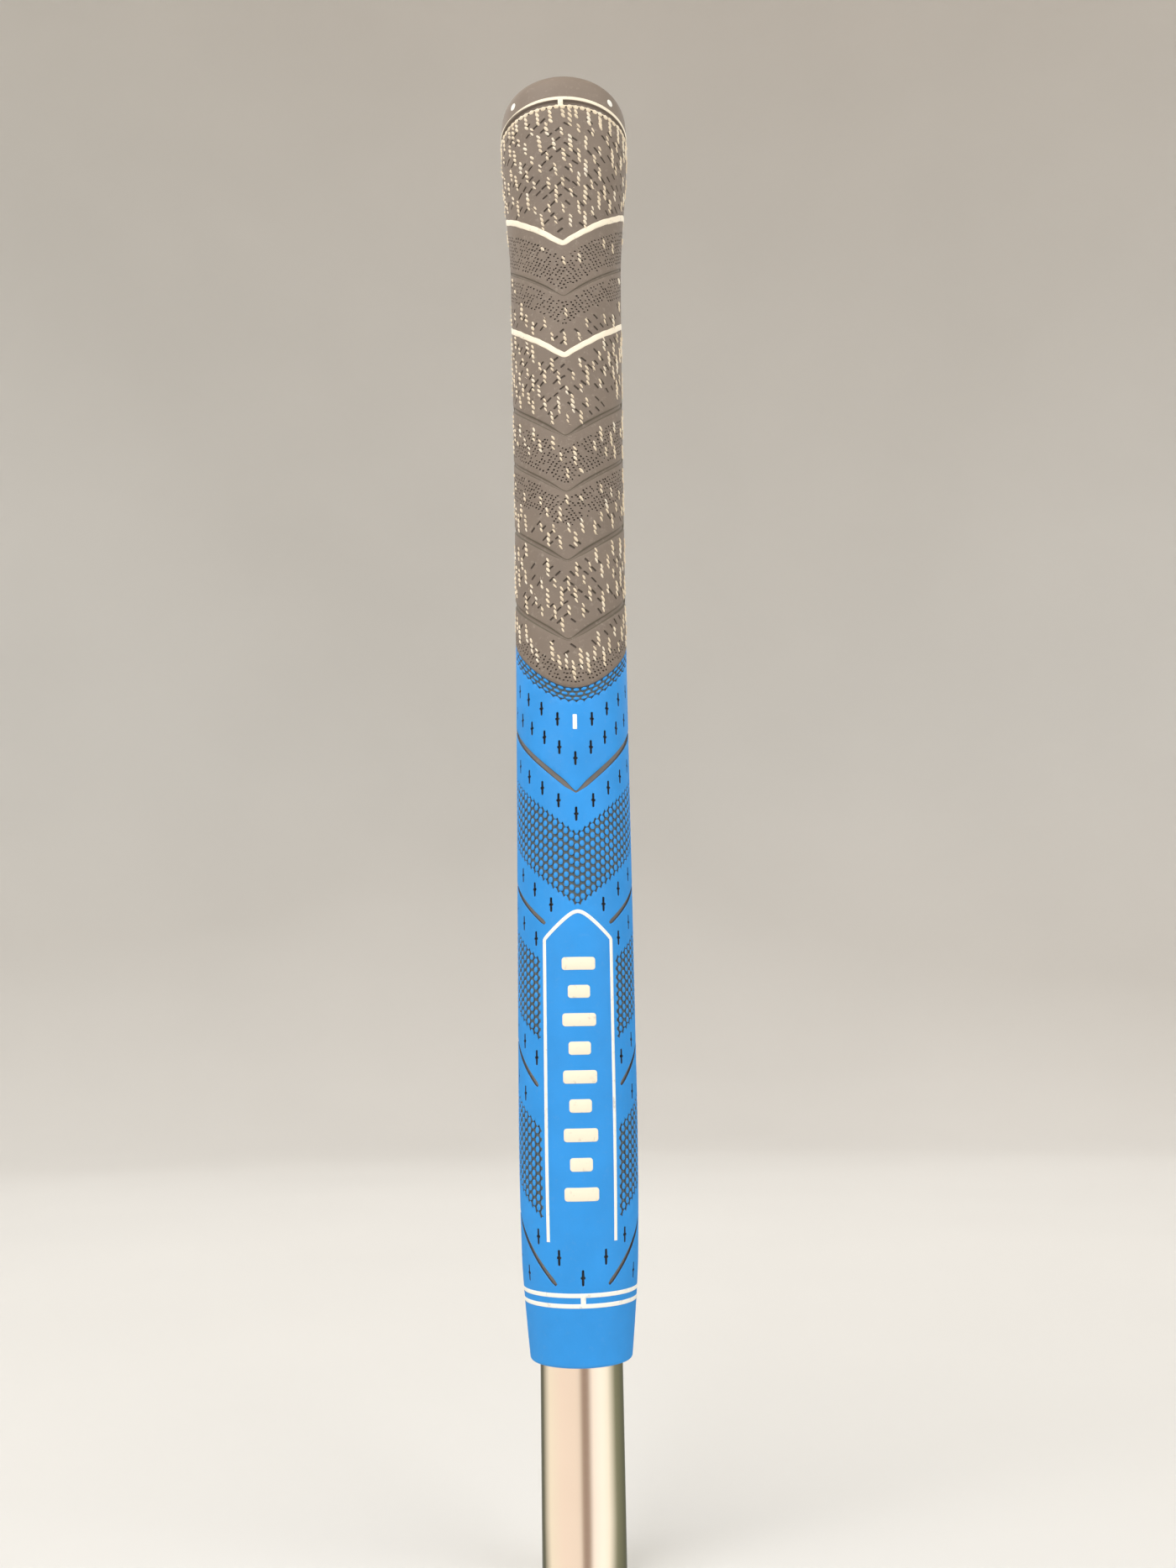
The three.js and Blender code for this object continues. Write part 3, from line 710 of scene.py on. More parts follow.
# ---------- blue lower sleeve
def blue_sleeve():
    sheet = Sheet()
    xs = around(BLUE_COLUMNS)
    groove_half = lambda x: MAIN_WIDTH / 2 * (0.3 + 0.7 * smoothstep(from_centre(x), 0, 2.5))
    groove_low = lambda x: MAIN_GROOVE - groove_half(x) + main_chevron(x)
    groove_high = lambda x: MAIN_GROOVE + groove_half(x) + main_chevron(x)
    mesh_low = lambda x: MESH_FROM + blue_chevron(x) - tooth(x)
    mesh_high = lambda x: MESH_TO + blue_chevron(x) + tooth(x)
    lace_low = lambda x: lace_foot(x) - tooth(x + LACE_CELL_WIDTH / 4, LACE_CELL_WIDTH, 0.6)
    lace_high = lambda x: BORDER + border_curve(x)
    lip_top = lambda x: LIP_RADIUS
    fixed = [Cut(band_outline(side_path(*groove, side), SIDE_GROOVE_WIDTH), GROOVE_DEPTH, wall=1, floor=2)
             for groove in SIDE_GROOVES for side in (1, -1)]
    fixed += [Cut(panel_outline_points(bottom, top, side), MESH_DEPTH, lip=0.06, wall=3, floor=3)
              for _, bottom, top in SIDE_PANELS for side in (1, -1)]
    slits = clear_slits(slit_cuts(), fixed)

    def blue_skin(low, high, others=()):
        within = [cut for x, h, cut in slits if low(x) + SLIT_REACH < h < high(x) - SLIT_REACH]
        return skin(sheet, low, high, [*others, *within], BLUE_SPACING, BLUE_COLUMNS)

    bottom, mesh_rim = blue_skin(lip_top, mesh_low, fixed)
    mesh_top, groove_rim = blue_skin(mesh_high, groove_low)
    groove_top, lace_rim = blue_skin(groove_high, lace_low)
    mesh_depth = lambda x: MESH_DEPTH
    groove_depth = lambda x: GROOVE_DEPTH * (0.5 + 0.5 * arm_share(x))
    ring_groove(sheet, mesh_rim, mesh_top, xs, mesh_low, mesh_high, mesh_depth, 3, 3, (0.006, 0.01))
    ring_groove(sheet, groove_rim, groove_top, xs, groove_low, groove_high, groove_depth, 1, 2)
    lace_top = edge_ring(sheet, xs, lace_high, -0.25)
    ring_groove(sheet, lace_rim, lace_top, xs, lace_low, lace_high, mesh_depth, 3, 3, (0.03, 0.05))
    mouth(sheet, bottom, xs)
    mesh_cells(sheet)
    lace_cells(sheet)
    for _, low, high in SIDE_PANELS:
        panel_cells(sheet, low, high)
    looks = ("blue", "dark", "floor", "mesh")
    panels = [f"mesh_panel_{side}_{row}" for side in ("right", "left") for row, _, _ in SIDE_PANELS]
    piece = sheet.build("blue_sleeve_skin", looks, "blue_rubber")
    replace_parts(piece, "lower_sleeve", "mesh_band", "lace_band", *panels)


def clear_slits(slits, obstacles):
    """Drops a slit that would run into a groove or a mesh field."""
    edges = [point for cut in obstacles for point in cut.outline(0.2)]
    kept = []
    for x, h, cut in slits:
        if all(abs(px - x) > 0.75 or abs(ph - h) > 2.0 for px, ph in edges):
            kept.append((x, h, cut))
    return kept


def mouth(sheet, bottom, xs):
    """The rounded lip and the flat underside of the grip's mouth, back to the taped shaft."""
    ring = bottom
    steps = 6
    for i in range(1, steps + 1):
        turn = math.radians(90 * i / steps)
        h = LIP_RADIUS - LIP_RADIUS * math.sin(turn)
        inset = LIP_RADIUS * (1 - math.cos(turn))
        radius = grip_radius(LIP_RADIUS) - inset
        lower = edge_ring(sheet, xs, lambda x: h, radius - grip_radius(h))
        sheet.strip(lower, ring)
        ring = lower
    back = edge_ring(sheet, xs, lambda x: 0.0, TAPED_SHAFT_RADIUS - grip_radius(0))
    sheet.strip(back, ring)
    inner = edge_ring(sheet, xs, lambda x: MOUTH_THROAT, TAPED_SHAFT_RADIUS - grip_radius(MOUTH_THROAT))
    sheet.strip(inner, back, 1)


# ---------- black upper sleeve
class Groove:
    """A moulded chevron groove of the black sleeve; it fades out towards the point of the chevron."""

    def __init__(self, at, width, depth):
        self.width = width
        self.sink = depth
        self.centre = chevron_at(at)

    def half(self, x):
        return self.width / 2 * (0.4 + 0.6 * arm_share(x - UPPER_SHIFT))

    def low(self, x):
        return self.centre(x) - self.half(x)

    def high(self, x):
        return self.centre(x) + self.half(x)

    def depth(self, x):
        return self.sink * (0.25 + 0.75 * arm_share(x - UPPER_SHIFT))


BLACK_GROOVES = [
    Groove(135.2, 1.8, 0.42), Groove(151.8, 1.8, 0.42), Groove(166.6, 1.3, 0.3), Groove(178.9, 1.8, 0.4),
    Groove(210.6, 1.1, 0.3),
]
# Fine mesh fields between and beside the grooves, as heights on the centre line.
FINE_FIELDS = [(158.6, 165.3), (168.2, 176.3), (203.9, 209.4), (212.0, 220.0)]
BORDER_FIELD_TOP = 129.8  # one more field lies between the border and this chevron
PIT_COLUMNS = 96
PIT_PITCH_X = 2 * HALF / PIT_COLUMNS
PIT_PITCH_H = 0.78
THREAD_COLUMNS = 25
THREAD_PITCH_X = 2 * HALF / THREAD_COLUMNS
THREAD_PITCH_H = 6.0
NICK_PITCH_H = 2.6
NICKS_LEFT_OUT = 0.42
# The share of the threads that show between two heights on the centre line: few in the fine fields.
THREAD_SHARES = [(157.5, 172, 0.5), (172, 176.5, 0.8), (202.5, 217, 0.06), (217, 222, 0.45)]
USUAL_SHARE = 0.9


def thread_share(x, h):
    centre_h = h - black_chevron(h)(x)
    return next((share for low, high, share in THREAD_SHARES if low < centre_h <= high), USUAL_SHARE)


def clear_of_lines(x, h, margin):
    if h < BORDER + border_curve(x) + margin + 0.3 or h > SLEEVE_TOP - margin:
        return False
    if any(groove.low(x) - margin + 0.6 < h < groove.high(x) + margin - 0.6 for groove in BLACK_GROOVES):
        return False
    return all(abs(h - chevron_at(at)(x)) > margin for at in CHEVRONS.values())


def thread_places(rng):
    """Where the cotton comes up through the rubber, with the number of turns that show.

    The columns are staggered, every other one with shorter threads. At the foot of the black half
    the threads crowd together near the centre line.
    """
    places = []
    for column in range(THREAD_COLUMNS * 2):
        x = -HALF + THREAD_PITCH_X * (column / 2 + 0.25)
        offset = (column % 2) * THREAD_PITCH_H / 2
        for row in range(24):
            h = BORDER - 8 + offset + row * THREAD_PITCH_H + 0.35 * math.sin(column) + rng.uniform(-0.4, 0.4)
            px = x + rng.uniform(-0.2, 0.2)
            share = thread_share(px, h)
            if not clear_of_lines(px, h, 1.9) or rng.random() > share:
                continue
            turns = rng.choice((2, 3, 3, 4, 4)) if column % 2 else rng.choice((2, 2, 3, 3))
            places.append((px, h, turns if share > 0.5 else rng.choice((1, 2, 2, 3))))
    crowded = [(x, h, turns) for x, h, turns in places if h > BORDER + 9 or from_centre(x) > 4.2]
    for centre in (0, HALF):
        for step in range(-3, 4):
            x = (centre + 1.45 * step + HALF) % (2 * HALF) - HALF
            h = BORDER + 3.6 + 0.8 * abs(step) + (step % 2) * 1.4 + rng.uniform(-0.4, 0.4)
            crowded.append((x, h, rng.choice((3, 3, 4))))
    return crowded


def nick_cuts(rng):
    """Short slanted nicks between the threads, climbing towards the centre line from both sides."""
    cuts = []
    for column in range(THREAD_COLUMNS * 2):
        x = -HALF + THREAD_PITCH_X * (column / 2 + 0.5)
        side = 1 if math.sin(2 * (x - UPPER_SHIFT) / LOWER_HAND_RADIUS) > 0 else -1
        for row in range(52):
            h = BORDER - 2 + (column % 2) * NICK_PITCH_H / 2 + row * NICK_PITCH_H + rng.uniform(-0.3, 0.3)
            px = x + rng.uniform(-0.12, 0.12)
            if abs(px) > HALF - 1.5 or not clear_of_lines(px, h, 1.6) or thread_share(px, h) < 0.5:
                continue
            if rng.random() < NICKS_LEFT_OUT:
                continue
            lean = math.radians(rng.uniform(44, 58)) * side
            outline = slit_outline(px, h, rng.uniform(0.32, 0.42), rng.uniform(1.0, 1.4), 0.0, lean)
            cuts.append(Cut(outline, 0.2, lip=0.07))
    return cuts


def inside(cut, low, high, margin=0.25):
    return all(low(x) + margin < h < high(x) - margin for x, h in cut.outline(cut.lip))


def black_sleeve(rng):
    """Plain skin and grooves from the border to the cap; the fine fields are pieces of their own."""
    sheet = Sheet()
    xs = around(BLACK_COLUMNS)
    cuts = nick_cuts(rng)
    above_border = lambda rise: lambda x: BORDER + border_curve(x) + rise
    fields = [(chevron_at(low), chevron_at(high)) for low, high in FINE_FIELDS]
    fields.append((above_border(0.9), chevron_at(BORDER_FIELD_TOP)))
    breaks = [(groove.low, groove.high, groove) for groove in BLACK_GROOVES]
    breaks += [(low, high, None) for low, high in fields]
    breaks.sort(key=lambda item: item[0](0))
    start, rim_below, groove_below, first_rim = above_border(0.12), None, None, None
    for low, high, groove in breaks + [(lambda x: SLEEVE_TOP, None, None)]:
        mine = [cut for cut in cuts if inside(cut, start, low)]
        rim_low, rim_high = skin(sheet, start, low, mine, BLACK_SPACING, BLACK_COLUMNS)
        first_rim = first_rim or rim_low
        if groove_below:
            # the groove walls take slot 2, the darker copy of the black rubber: painted shade; the floors
            # stay plain black
            ring_groove(sheet, rim_below, rim_low, xs, groove_below.low, groove_below.high,
                        groove_below.depth, 2, 0, sections=(0.14, 0.32))
        start, rim_below, groove_below = high, rim_high, groove
    foot = edge_ring(sheet, xs, above_border(0), -0.14)
    under = edge_ring(sheet, xs, above_border(0.05), -0.6)
    sheet.strip(foot, first_rim)
    sheet.strip(under, foot)
    over, back = (edge_ring(sheet, xs, lambda x: SLEEVE_TOP + 0.15, proud) for proud in (-0.2, -0.75))
    sheet.strip(rim_high, over)
    sheet.strip(over, back)
    # slot 1 darkens the nicks' walls and floors and slot 2 the groove walls: painted shade
    looks = ("black", "pit_shade", "groove")
    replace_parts(sheet.build("black_sleeve_skin", looks, "black_rubber", sharp=60), "upper_sleeve")
    for low, high in fields:
        fine_field(low, high, rng)


def fine_field(low, high, rng):
    """A band of small staggered pits that follow the chevron."""
    sheet = Sheet()
    pits = []
    rows = round((high(0) - low(0)) / PIT_PITCH_H)
    for row in range(rows):
        for k in range(PIT_COLUMNS):
            x = -HALF + PIT_PITCH_X * (k + 0.25 + 0.5 * (row % 2)) + rng.uniform(-0.1, 0.1)
            h = low(x) + (row + 0.5 + rng.uniform(-0.16, 0.16)) * (high(0) - low(0)) / rows
            width = rng.uniform(0.32, 0.56)
            cut = Cut(pit_outline(x, h, width, rng.uniform(0.28, 0.46)), 0.3, lip=0, wall=1, floor=1)
            if abs(x) < HALF - 0.4 and inside(cut, low, high, 0.08) and rng.random() < 0.85:
                pits.append(cut)
    skin(sheet, low, high, pits, 3.0, BLACK_COLUMNS)
    name = f"fine_field_{round(low(UPPER_SHIFT))}"
    # the pits' walls and floors take the darker copy of the black rubber: painted shade
    sheet.build(name, ("black", "pit_shade"), "black_rubber", sharp=40)


def thread_lump(sheet, x, h, width, length, lean, proud):
    """One visible turn of a cotton thread: a leaning pod that swells out of the rubber."""
    direction = Matrix.Rotation(lean, 2)
    rings = []
    for scale, lift in ((1.0, -0.12), (0.86, 0.45), (0.5, 0.85)):
        half_width, half_length = width / 2 * scale, length / 2 * scale
        leaning = (direction @ Vector((half_width * c, half_length * s)) for c, s in circle(8))
        rings.append(sheet.ring([(x + p.x, h + p.y) for p in leaning], proud * lift))
    sheet.stack(rings)
    top = sheet.point(x, h, proud)
    last = rings[-1]
    for i, corner in enumerate(last):
        sheet.face((corner, last[(i + 1) % len(last)], top))


def cord_threads(places, rng):
    sheet = Sheet()
    for x, h, turns in places:
        lean = math.radians(rng.uniform(25, 36))
        width = rng.uniform(0.5, 0.62)
        step = rng.uniform(1.02, 1.16)
        drift = rng.uniform(-0.04, 0.12)
        for turn in range(turns):
            offset = (turns - 1) / 2 - turn
            squeeze = rng.uniform(0.65, 0.85) if turn in (0, turns - 1) and turns > 1 else 1
            thread_lump(sheet, x - drift * offset + rng.uniform(-0.04, 0.04), h + offset * step,
                        width * squeeze, step * rng.uniform(1.15, 1.3) * squeeze ** 0.5,
                        lean + rng.uniform(-0.12, 0.12), rng.uniform(0.22, 0.32) * squeeze)
    sheet.build("cord_threads", ["cotton"], "cotton_cord", sharp=80)


def cord_fuzz(places, rng):
    """Loose cotton fibres that stand off the threads."""
    points, faces = [], []
    for x, h, _ in places:
        for _ in range(rng.choice((1, 2, 2, 3))):
            fibre(points, faces, x + rng.uniform(-0.3, 0.3), h + rng.uniform(-1.4, 1.4), rng)
    mesh = bpy.data.meshes.new("cord_fuzz")
    mesh.from_pydata(points, [], faces)
    mesh.uv_layers.new(name="surface")
    finish_piece("cord_fuzz", mesh, ["cotton"], merge=False)


def fibre(points, faces, x, h, rng):
    length = rng.uniform(0.35, 1.1)
    bend_x, bend_h = rng.uniform(-1, 1) * length, rng.uniform(-1, 1) * length
    rise = rng.uniform(0.15, 0.5)
    thickness = 0.035
    start = len(points)
    steps = 3
    for i in range(steps + 1):
        t = i / steps
        centre = wrap(x + bend_x * t * t, h + bend_h * t, rise * math.sin(2.2 * t))
        size = thickness * (1 - 0.7 * t) * MM
        points.extend(centre + Vector((math.cos(a) * size, math.sin(a) * size, math.sin(a + 1) * size))
                      for a in (0, 2.1, 4.2))
    for i in range(steps):
        for j in range(3):
            a, b = start + 3 * i + j, start + 3 * i + (j + 1) % 3
            faces.append((a, b, b + 3, a + 3))
    faces.append((start + 2, start + 1, start))
    end = start + 3 * steps
    faces.append((end, end + 1, end + 2))


# ---------- painted marks
def painted_band(sheet, path, width, thickness=0.05, closed=False, worn=None):
    """A raised, rounded line of paint along a path, closed underneath; worn(x) thins it at x."""
    profile = [(-0.5, -0.06), (-0.47, 0.4), (-0.3, 0.9), (0, 1), (0.3, 0.9), (0.47, 0.4), (0.5, -0.06)]
    rings = []
    for i, (x, h) in enumerate(path):
        side, _ = sides_of(path, i, closed)
        reach = width * (worn(x) if worn else 1)
        rings.append([sheet.point(x + side.x * s * reach, h + side.y * s * reach, t * thickness)
                      for s, t in profile])
    for i in range(len(rings) if closed else len(rings) - 1):
        sheet.strip(rings[i], rings[(i + 1) % len(rings)], closed=True)
    if not closed:
        sheet.face(rings[0])
        sheet.face(rings[-1][::-1])


def finish_paint(sheet, name, node, look="white"):
    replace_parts(sheet.build(name, [look], "white_paint", sharp=75), node)


def uneven(x):
    """The small unevenness of a line painted by hand."""
    turn = x / LOWER_HAND_RADIUS
    return 0.05 * math.sin(11 * turn + 1) + 0.035 * math.sin(29 * turn)


def ring_path(curve, columns=360):
    return [(x, curve(x)) for x in around(columns)[:-1]]


def painted_lines():
    for name, at in CHEVRONS.items():
        sheet = Sheet()
        line = chevron_at(at)
        painted_band(sheet, ring_path(lambda x: line(x) + uneven(x)), CHEVRON_WIDTH, 0.09, closed=True)
        finish_paint(sheet, f"{name}_paint", name, "cream")
    sheet = Sheet()
    for at in MOUTH_LINES:
        painted_band(sheet, ring_path(lambda x, a=at: a), MOUTH_LINE_WIDTH, 0.05, closed=True)
    painted_band(sheet, [(0, MOUTH_LINES[0] + 0.2), (0, MOUTH_LINES[1] - 0.2)], 1.0, 0.05)
    finish_paint(sheet, "mouth_lines_paint", "mouth_lines")


PANEL_HALF = arc(33.8)
PANEL_BOTTOM, PANEL_APEX = 21.6, 81.3


def panel_arch(x):
    return PANEL_APEX + 1.5 - math.hypot(1.5, 0.95 * x)


def panel_outline(name, centre):
    shoulder = panel_arch(PANEL_HALF)
    corner = 0.35
    steps = 40
    side = [(-PANEL_HALF, PANEL_BOTTOM + (shoulder - corner - PANEL_BOTTOM) * i / steps)
            for i in range(steps + 1)]
    side += [(-PANEL_HALF + corner * (1 - math.cos(t)), shoulder - corner + (corner + 0.2) * math.sin(t))
             for t in (0.4, 0.8, 1.15)]
    arch = [(-PANEL_HALF + corner + (2 * PANEL_HALF - 2 * corner) * i / steps) for i in range(1, steps)]
    path = side + [(x, panel_arch(x)) for x in arch] + [(-x, h) for x, h in reversed(side)]
    sheet = Sheet()
    painted_band(sheet, [(x + centre, h) for x, h in path], 0.7)
    finish_paint(sheet, f"{name}_paint", name)


def painted_patch(name, node, h, width, height, corner, look):
    """A flat rounded patch of paint that follows the curve of the grip."""
    sheet = Sheet()
    steps = 24

    def outline(grow):
        lower, upper = [], []
        for i in range(steps + 1):
            t = -math.cos(math.pi * i / steps)
            across = t * (width / 2 + grow)
            inset = max(0, abs(across) - (width / 2 + grow - corner))
            half = height / 2 + grow - corner + math.sqrt(max(0, corner ** 2 - inset ** 2))
            lower.append((across, h - half))
            upper.append((across, h + half))
        return lower + upper[::-1]

    foot = sheet.ring(outline(0.0), -0.05)
    edge = sheet.ring(outline(-0.01), 0.02)
    top = sheet.ring(outline(-0.08), 0.05)
    sheet.strip(foot, edge, closed=True)
    sheet.strip(edge, top, closed=True)
    sheet.pair_fill(top)
    sheet.pair_fill(foot[::-1])
    finish_paint(sheet, name, node, look)


BAR_COUNT, BAR_FIRST, BAR_PITCH = 9, 29.9, 5.2
BAR_WIDTHS = (6.4, 4.2)
BAR_HEIGHT = 2.4


def panel_bars():
    for index in range(BAR_COUNT):
        h = BAR_FIRST + index * BAR_PITCH
        width = BAR_WIDTHS[index % 2] * LOWER_HAND_RADIUS / grip_radius(h)
        names = f"panel_bar_paint_{index + 1}", f"panel_bar_{index + 1}"
        painted_patch(*names, h, width, BAR_HEIGHT, 0.55, "cream")


# ---------- butt cap and shaft
def lathe(name, profile, look, sharp=40):
    """A closed ring of points (radius, z) turned round the axis."""
    points, faces = [], []
    segments = 144
    count = len(profile)
    for turn in range(segments):
        angle = 2 * math.pi * turn / segments
        for radius, z in profile:
            points.append(Vector((radius * math.sin(angle), -radius * math.cos(angle), z)) * MM)
    for turn in range(segments):
        for k in range(count):
            a, b = turn * count + k, turn * count + (k + 1) % count
            c, d = ((turn + 1) % segments) * count + (k + 1) % count, ((turn + 1) % segments) * count + k
            faces.append((a, d, c, b))
    mesh = bpy.data.meshes.new(name)
    mesh.from_pydata(points, [], faces)
    mesh.uv_layers.new(name="surface")
    return finish_piece(name, mesh, [look], sharp, merge=False)


CAP_SEAT, PLUG_TOP, PLUG_RADIUS = 252.6, 255.25, 12.9
VENT_RADIUS = 1.25
CAP_LINE = (256.35, 257.1)
DOME_SIDE_POWER, DOME_TOP_POWER = 2.4, 3.4
DOME_BASE = CAP_LINE[1] + 0.1
DOME_RADIUS = grip_radius(DOME_BASE)
DOME_HEIGHT = GRIP_LENGTH - 0.15 - DOME_BASE
DOME_FLAT_RADIUS = 4.6


def butt_cap():
    rim = grip_radius(CAP_LINE[0])
    flat_turn = math.acos((DOME_FLAT_RADIUS / DOME_RADIUS) ** (DOME_SIDE_POWER / 2))
    steps = 28
    dome = []
    for i in range(steps + 1):
        turn = flat_turn * (i / steps) ** 1.15
        dome.append((DOME_RADIUS * math.cos(turn) ** (2 / DOME_SIDE_POWER),
                     DOME_BASE + DOME_HEIGHT * math.sin(turn) ** (2 / DOME_TOP_POWER)))
    plug = [(VENT_RADIUS, CAP_SEAT), (PLUG_RADIUS, CAP_SEAT), (PLUG_RADIUS, PLUG_TOP), (rim - 0.55, PLUG_TOP)]
    edge = [(rim - 0.55, 256.1), (rim - 0.45, 256.22), (rim - 0.12, 256.25), (rim, CAP_LINE[0]),
            (rim + 0.02, 256.7)]
    top = [(4.2, 0.01), (3.9, 0.12), (3.7, 0.12), (3.4, 0.01), (VENT_RADIUS + 0.35, 0.02),
           (VENT_RADIUS + 0.1, 0.12), (VENT_RADIUS, 0.4)]
    profile = plug + edge + dome + [(radius, GRIP_LENGTH - drop) for radius, drop in top]
    placed = [(radius, MOUTH_Z + h) for radius, h in profile]
    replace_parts(lathe("butt_cap", placed, "cap", sharp=50), "end_cap")


def cap_line():
    sheet = Sheet()
    middle = sum(CAP_LINE) / 2
    worn_at, worn_reach = arc(-62), arc(24)
    worn = lambda x: 1 - 0.75 * math.exp(-(((x - worn_at) / worn_reach) ** 2))
    painted_band(sheet, ring_path(lambda x: middle), CAP_LINE[1] - CAP_LINE[0], 0.07, closed=True, worn=worn)
    tick = [(UPPER_SHIFT, h) for h in (254.95, 255.6, middle - 0.2)]
    painted_band(sheet, tick, 0.9, 0.04)
    finish_paint(sheet, "cap_line_paint", "cap_ring_line", "cream")


def dome_drop(h):
    """How far the cap's dome lies inside the grip's straight wall at a height."""
    rise = min(1, max(0, (h - DOME_BASE) / DOME_HEIGHT))
    turn = math.asin(rise ** (DOME_TOP_POWER / 2))
    return DOME_RADIUS * math.cos(turn) ** (2 / DOME_SIDE_POWER) - grip_radius(h)


def cap_dots():
    centre_h = 259.0
    squash = 0.81  # the unrolled surface is narrower than the cap
    for side, name in ((1, "cap_dot_right"), (-1, "cap_dot_left")):
        x = side * arc(49) + UPPER_SHIFT
        sheet = Sheet()
        rings = []
        for radius, proud in ((0.8, -0.1), (0.8, 0.02), (0.7, 0.06)):
            outline = [(x + radius * c * squash, centre_h + radius * s) for c, s in circle(24)]
            rings.append([sheet.point(px, ph, proud + dome_drop(ph)) for px, ph in outline])
        sheet.stack(rings)
        sheet.face(rings[-1])
        finish_paint(sheet, f"{name}_paint", name)


BEADS, BEADS_AT = 62, 254.62
HANGING_FROM, HANGING_STEP = 253.5, 1.05
EDGE_LINE_AT = 254.85


def cord_edge(rng):
    """The cotton layer's cut edge: beads under the cap, and threads hanging from every other bead."""
    sheet = Sheet()
    for i in range(BEADS):
        x = -HALF + 2 * HALF * (i + 0.5) / BEADS + rng.uniform(-0.08, 0.08)
        h = BEADS_AT + rng.uniform(-0.05, 0.05)
        thread_lump(sheet, x, h, 0.98, 1.05, math.radians(20), rng.uniform(0.18, 0.28))
        if i % 2 == 0:
            for step in range(rng.choice((2, 3, 3, 4))):
                hanging_h = HANGING_FROM - HANGING_STEP * step
                thread_lump(sheet, x + 0.06 * step, hanging_h, rng.uniform(0.5, 0.64), 1.3,
                            math.radians(rng.uniform(22, 32)), rng.uniform(0.18, 0.28))
    painted_band(sheet, ring_path(lambda x: EDGE_LINE_AT), 0.3, 0.03, closed=True)
    piece = sheet.build("cord_edge_threads", ["cotton"], "cotton_cord", sharp=80)
    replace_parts(piece, "cord_edge_ring")


def shaft():
    wall = 0.6
    outer, inner = SHAFT_RADIUS, SHAFT_RADIUS - wall
    deburr = 0.14
    outside = [(outer, z) for z in (deburr, 12, 30, 80, 160, SHAFT_TOP - deburr)]
    inside_wall = [(inner, z) for z in (SHAFT_TOP - deburr, 160, deburr)]
    foot = [(inner + deburr, 0), (outer - deburr, 0), (outer - 0.04, 0.04)]
    top = [(outer - deburr, SHAFT_TOP), (inner + deburr, SHAFT_TOP)]
    profile = foot + outside + top + inside_wall
    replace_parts(lathe("steel_shaft", profile, "steel"), "shaft_tube")


# ---------- assembly
def dress_hidden_nodes():
    looks = {"core_sleeve": "dark", "grip_tape": "tape", "cord_layer": "cotton"}
    for node, look in looks.items():
        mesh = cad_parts[node].data
        mesh.materials.clear()
        mesh.materials.append(MATERIALS[look])


rng = random.Random(7)
dress_hidden_nodes()
blue_sleeve()
threads = thread_places(rng)
black_sleeve(rng)
cord_threads(threads, rng)
cord_fuzz(threads, rng)
painted_lines()
panel_outline("panel_outline_front", 0)
panel_outline("panel_outline_back", HALF)
panel_bars()
painted_patch("alignment_mark_paint", "alignment_mark", 118.4, 0.85, 3.0, 0.15, "white")
butt_cap()
cap_line()
cap_dots()
cord_edge(rng)
shaft()


# ---------- studio, in metres
def cove():
    """A round floor that sweeps up into a wall, all the way round."""
    radius, bend, top = 1.5, 0.5, 2.6
    profile = [(0.0, 0.0), (0.3, 0.0), (radius - bend, 0.0)]
    profile += [(radius - bend + bend * math.sin(t), bend - bend * math.cos(t))
                for t in (math.radians(a) for a in range(10, 91, 10))]
    profile += [(radius, top)]
    segments = 96
    points = [Vector((r * math.cos(2 * math.pi * i / segments), r * math.sin(2 * math.pi * i / segments), z))
              for i in range(segments) for r, z in profile]
    count = len(profile)
    faces = [(i * count + k, ((i + 1) % segments) * count + k, ((i + 1) % segments) * count + k + 1,
              i * count + k + 1) for i in range(segments) for k in range(count - 1)]
    mesh = bpy.data.meshes.new("studio_cove")
    mesh.from_pydata(points, [], faces)
    mesh.shade_smooth()
    n = Nodes(bpy.data.materials.new("studio_paper"))
    n.link(n.ramp(n.noise(3, 2), [(0.3, (0.7, 0.7, 0.69)), (0.7, (0.73, 0.73, 0.72))]),
           n.shader.inputs["Base Color"])
    n.set(Roughness=0.9, Specular_IOR_Level=0.2)
    mesh.materials.append(n.owner)
    floor = add_object("studio_cove", mesh)
    floor.visible_glossy = False


def area_light(name, azimuth, elevation, distance, size, power, colour=(1, 1, 1)):
    light = bpy.data.lights.new(name, "AREA")
    light.shape = "RECTANGLE"
    light.size, light.size_y = size
    light.energy = power
    light.color = colour
    holder = add_object(name, light)
    a, e = math.radians(azimuth), math.radians(elevation)
    aim = Vector((0, 0, 0.17))
    away = Vector((math.sin(a) * math.cos(e), -math.cos(a) * math.cos(e), math.sin(e)))
    holder.location = aim + away * distance
    holder.rotation_euler = (-away).to_track_quat("-Z", "Y").to_euler()


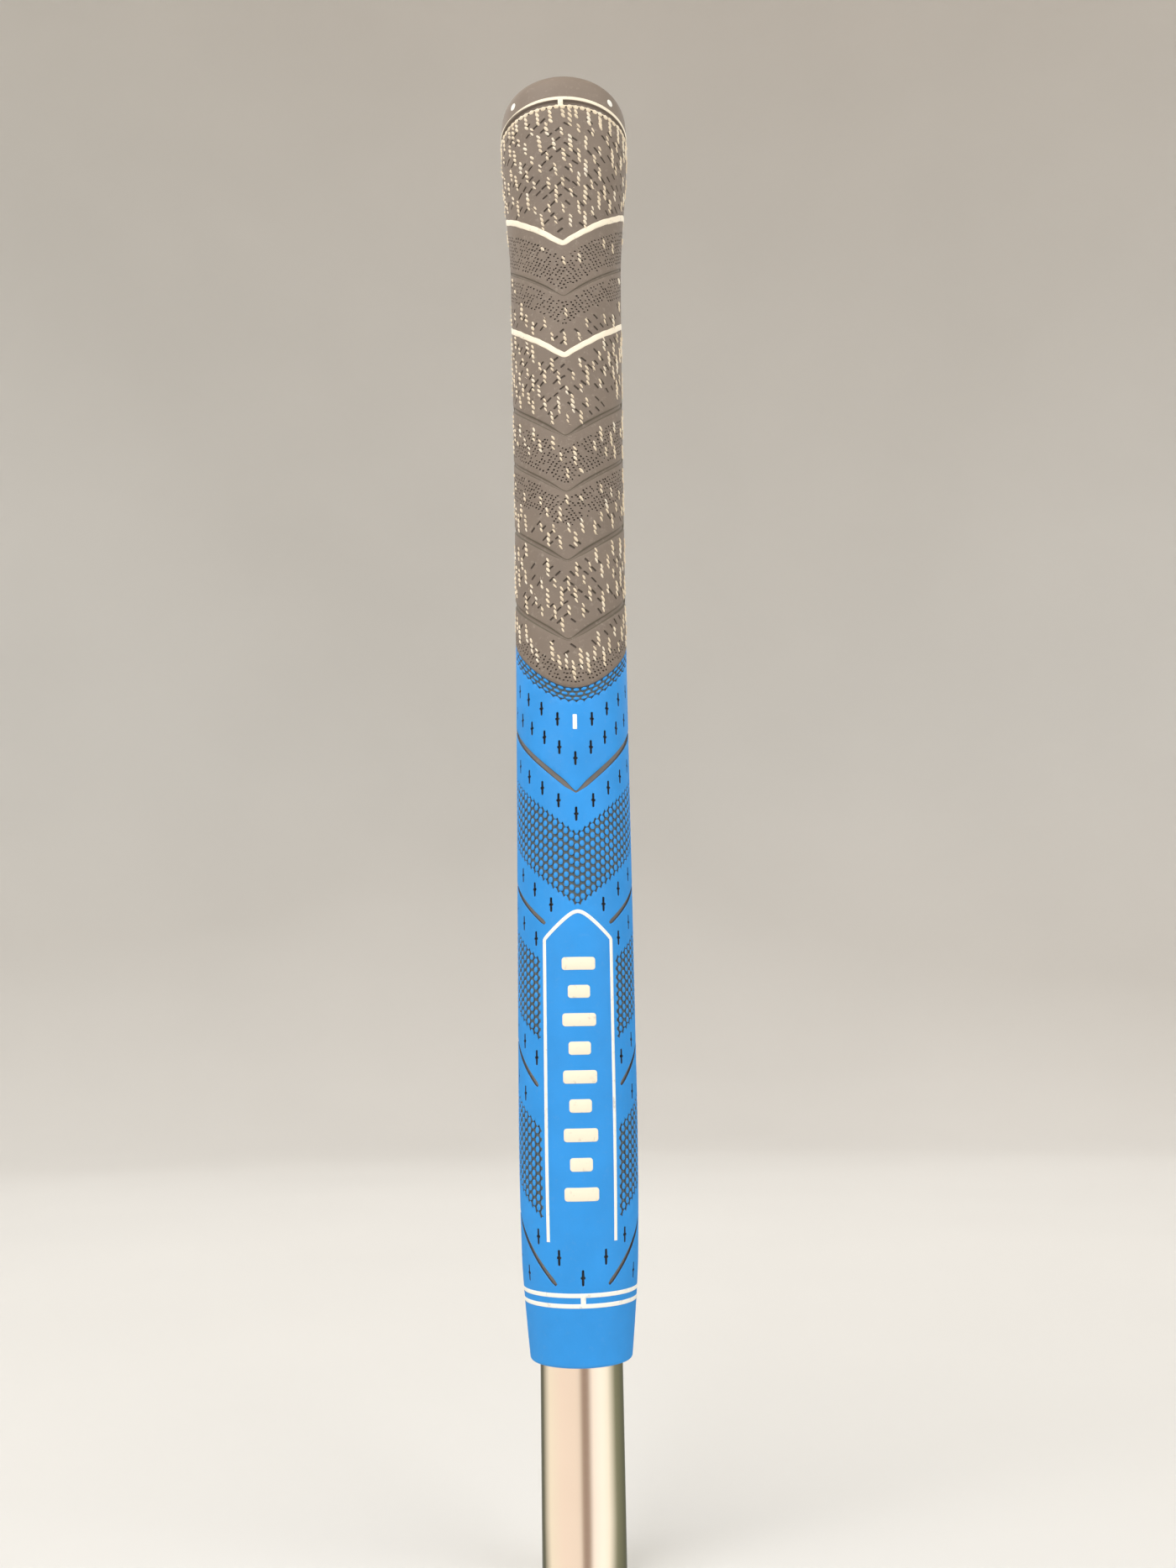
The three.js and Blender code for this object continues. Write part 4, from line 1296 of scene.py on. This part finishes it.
def surroundings():
    """What the shiny parts mirror: bright on both sides of the camera, a darker gap between, dim behind."""
    n = Nodes(bpy.data.worlds.new("studio"))
    direction = n.add("ShaderNodeSeparateXYZ")
    flip = n.add("ShaderNodeMath", operation="MULTIPLY")
    flip.inputs[1].default_value = -1
    azimuth = n.add("ShaderNodeMath", operation="ARCTAN2")
    share = n.add("ShaderNodeMapRange", **{"From Min": -math.pi, "From Max": math.pi})
    n.link(n.place("Generated"), direction.inputs["Vector"])
    n.link(direction.outputs["Y"], flip.inputs[0])
    n.link(direction.outputs["X"], azimuth.inputs[0])
    n.link(flip.outputs["Value"], azimuth.inputs[1])
    n.link(azimuth.outputs["Value"], share.inputs["Value"])
    dim, behind, stripe = (0.12, 0.12, 0.08), (0.4, 0.4, 0.38), (0.4, 0.28, 0.21)
    stops = [
        (-180, behind), (-150, dim), (-142, dim), (-106, (1.05, 0.92, 0.72)), (-60, (1.06, 0.86, 0.7)),
        (-12, (1.02, 0.84, 0.68)), (-2, stripe), (12, stripe), (24, (1.15, 1.0, 0.86)),
        (50, (1.28, 1.13, 0.97)), (70, (1.16, 1.05, 0.86)), (100, (0.24, 0.24, 0.15)), (150, dim),
        (180, behind),
    ]
    colour = n.ramp(share.outputs["Result"], [(angle / 360 + 0.5, colour) for angle, colour in stops])
    n.link(colour, n.tree.nodes["Background"].inputs["Color"])
    bpy.context.scene.world = n.owner


def studio():
    surroundings()
    area_light("key", -38, 38, 0.9, (0.7, 0.9), 6.5, (1.0, 0.98, 0.95))
    area_light("fill", 48, 25, 1.0, (0.7, 0.9), 4, (1.0, 0.98, 0.95))
    area_light("back_left", 215, 40, 1.1, (0.8, 0.8), 3.5)
    area_light("back_right", 140, 35, 1.1, (0.8, 0.8), 3)
    cove()
    bpy.context.scene.view_settings.view_transform = "Standard"


IMAGE_HEIGHT = 1867
FOCAL_LENGTH = 1507 / IMAGE_HEIGHT  # as a share of the long side of the image
CAMERA_PLACE = (2.1, -251.0, MOUTH_Z + 55.5)
CAMERA_AHEAD = (0.0035, 0.9786, 0.2058)
CAMERA_UP = (0.0165, -0.2059, 0.9784)
CAMERA_SWING = -3


def camera():
    """Stands where the photographer stood: close, a little below the middle, tilted up towards the butt."""
    data = bpy.data.cameras.new("camera")
    data.sensor_fit = "AUTO"
    data.sensor_width = 36
    data.lens = data.sensor_width * FOCAL_LENGTH
    data.clip_start = 0.01
    holder = add_object("camera", data)
    turn = Matrix.Rotation(math.radians(CAMERA_SWING), 3, "Z")
    ahead = Vector(CAMERA_AHEAD).normalized()
    right = ahead.cross(Vector(CAMERA_UP)).normalized()
    up = right.cross(ahead)
    axes = Matrix((right, up, -ahead)).transposed()
    holder.matrix_world = Matrix.Translation(turn @ Vector(CAMERA_PLACE) * MM) @ (turn @ axes).to_4x4()
    bpy.context.scene.camera = holder


studio()
camera()
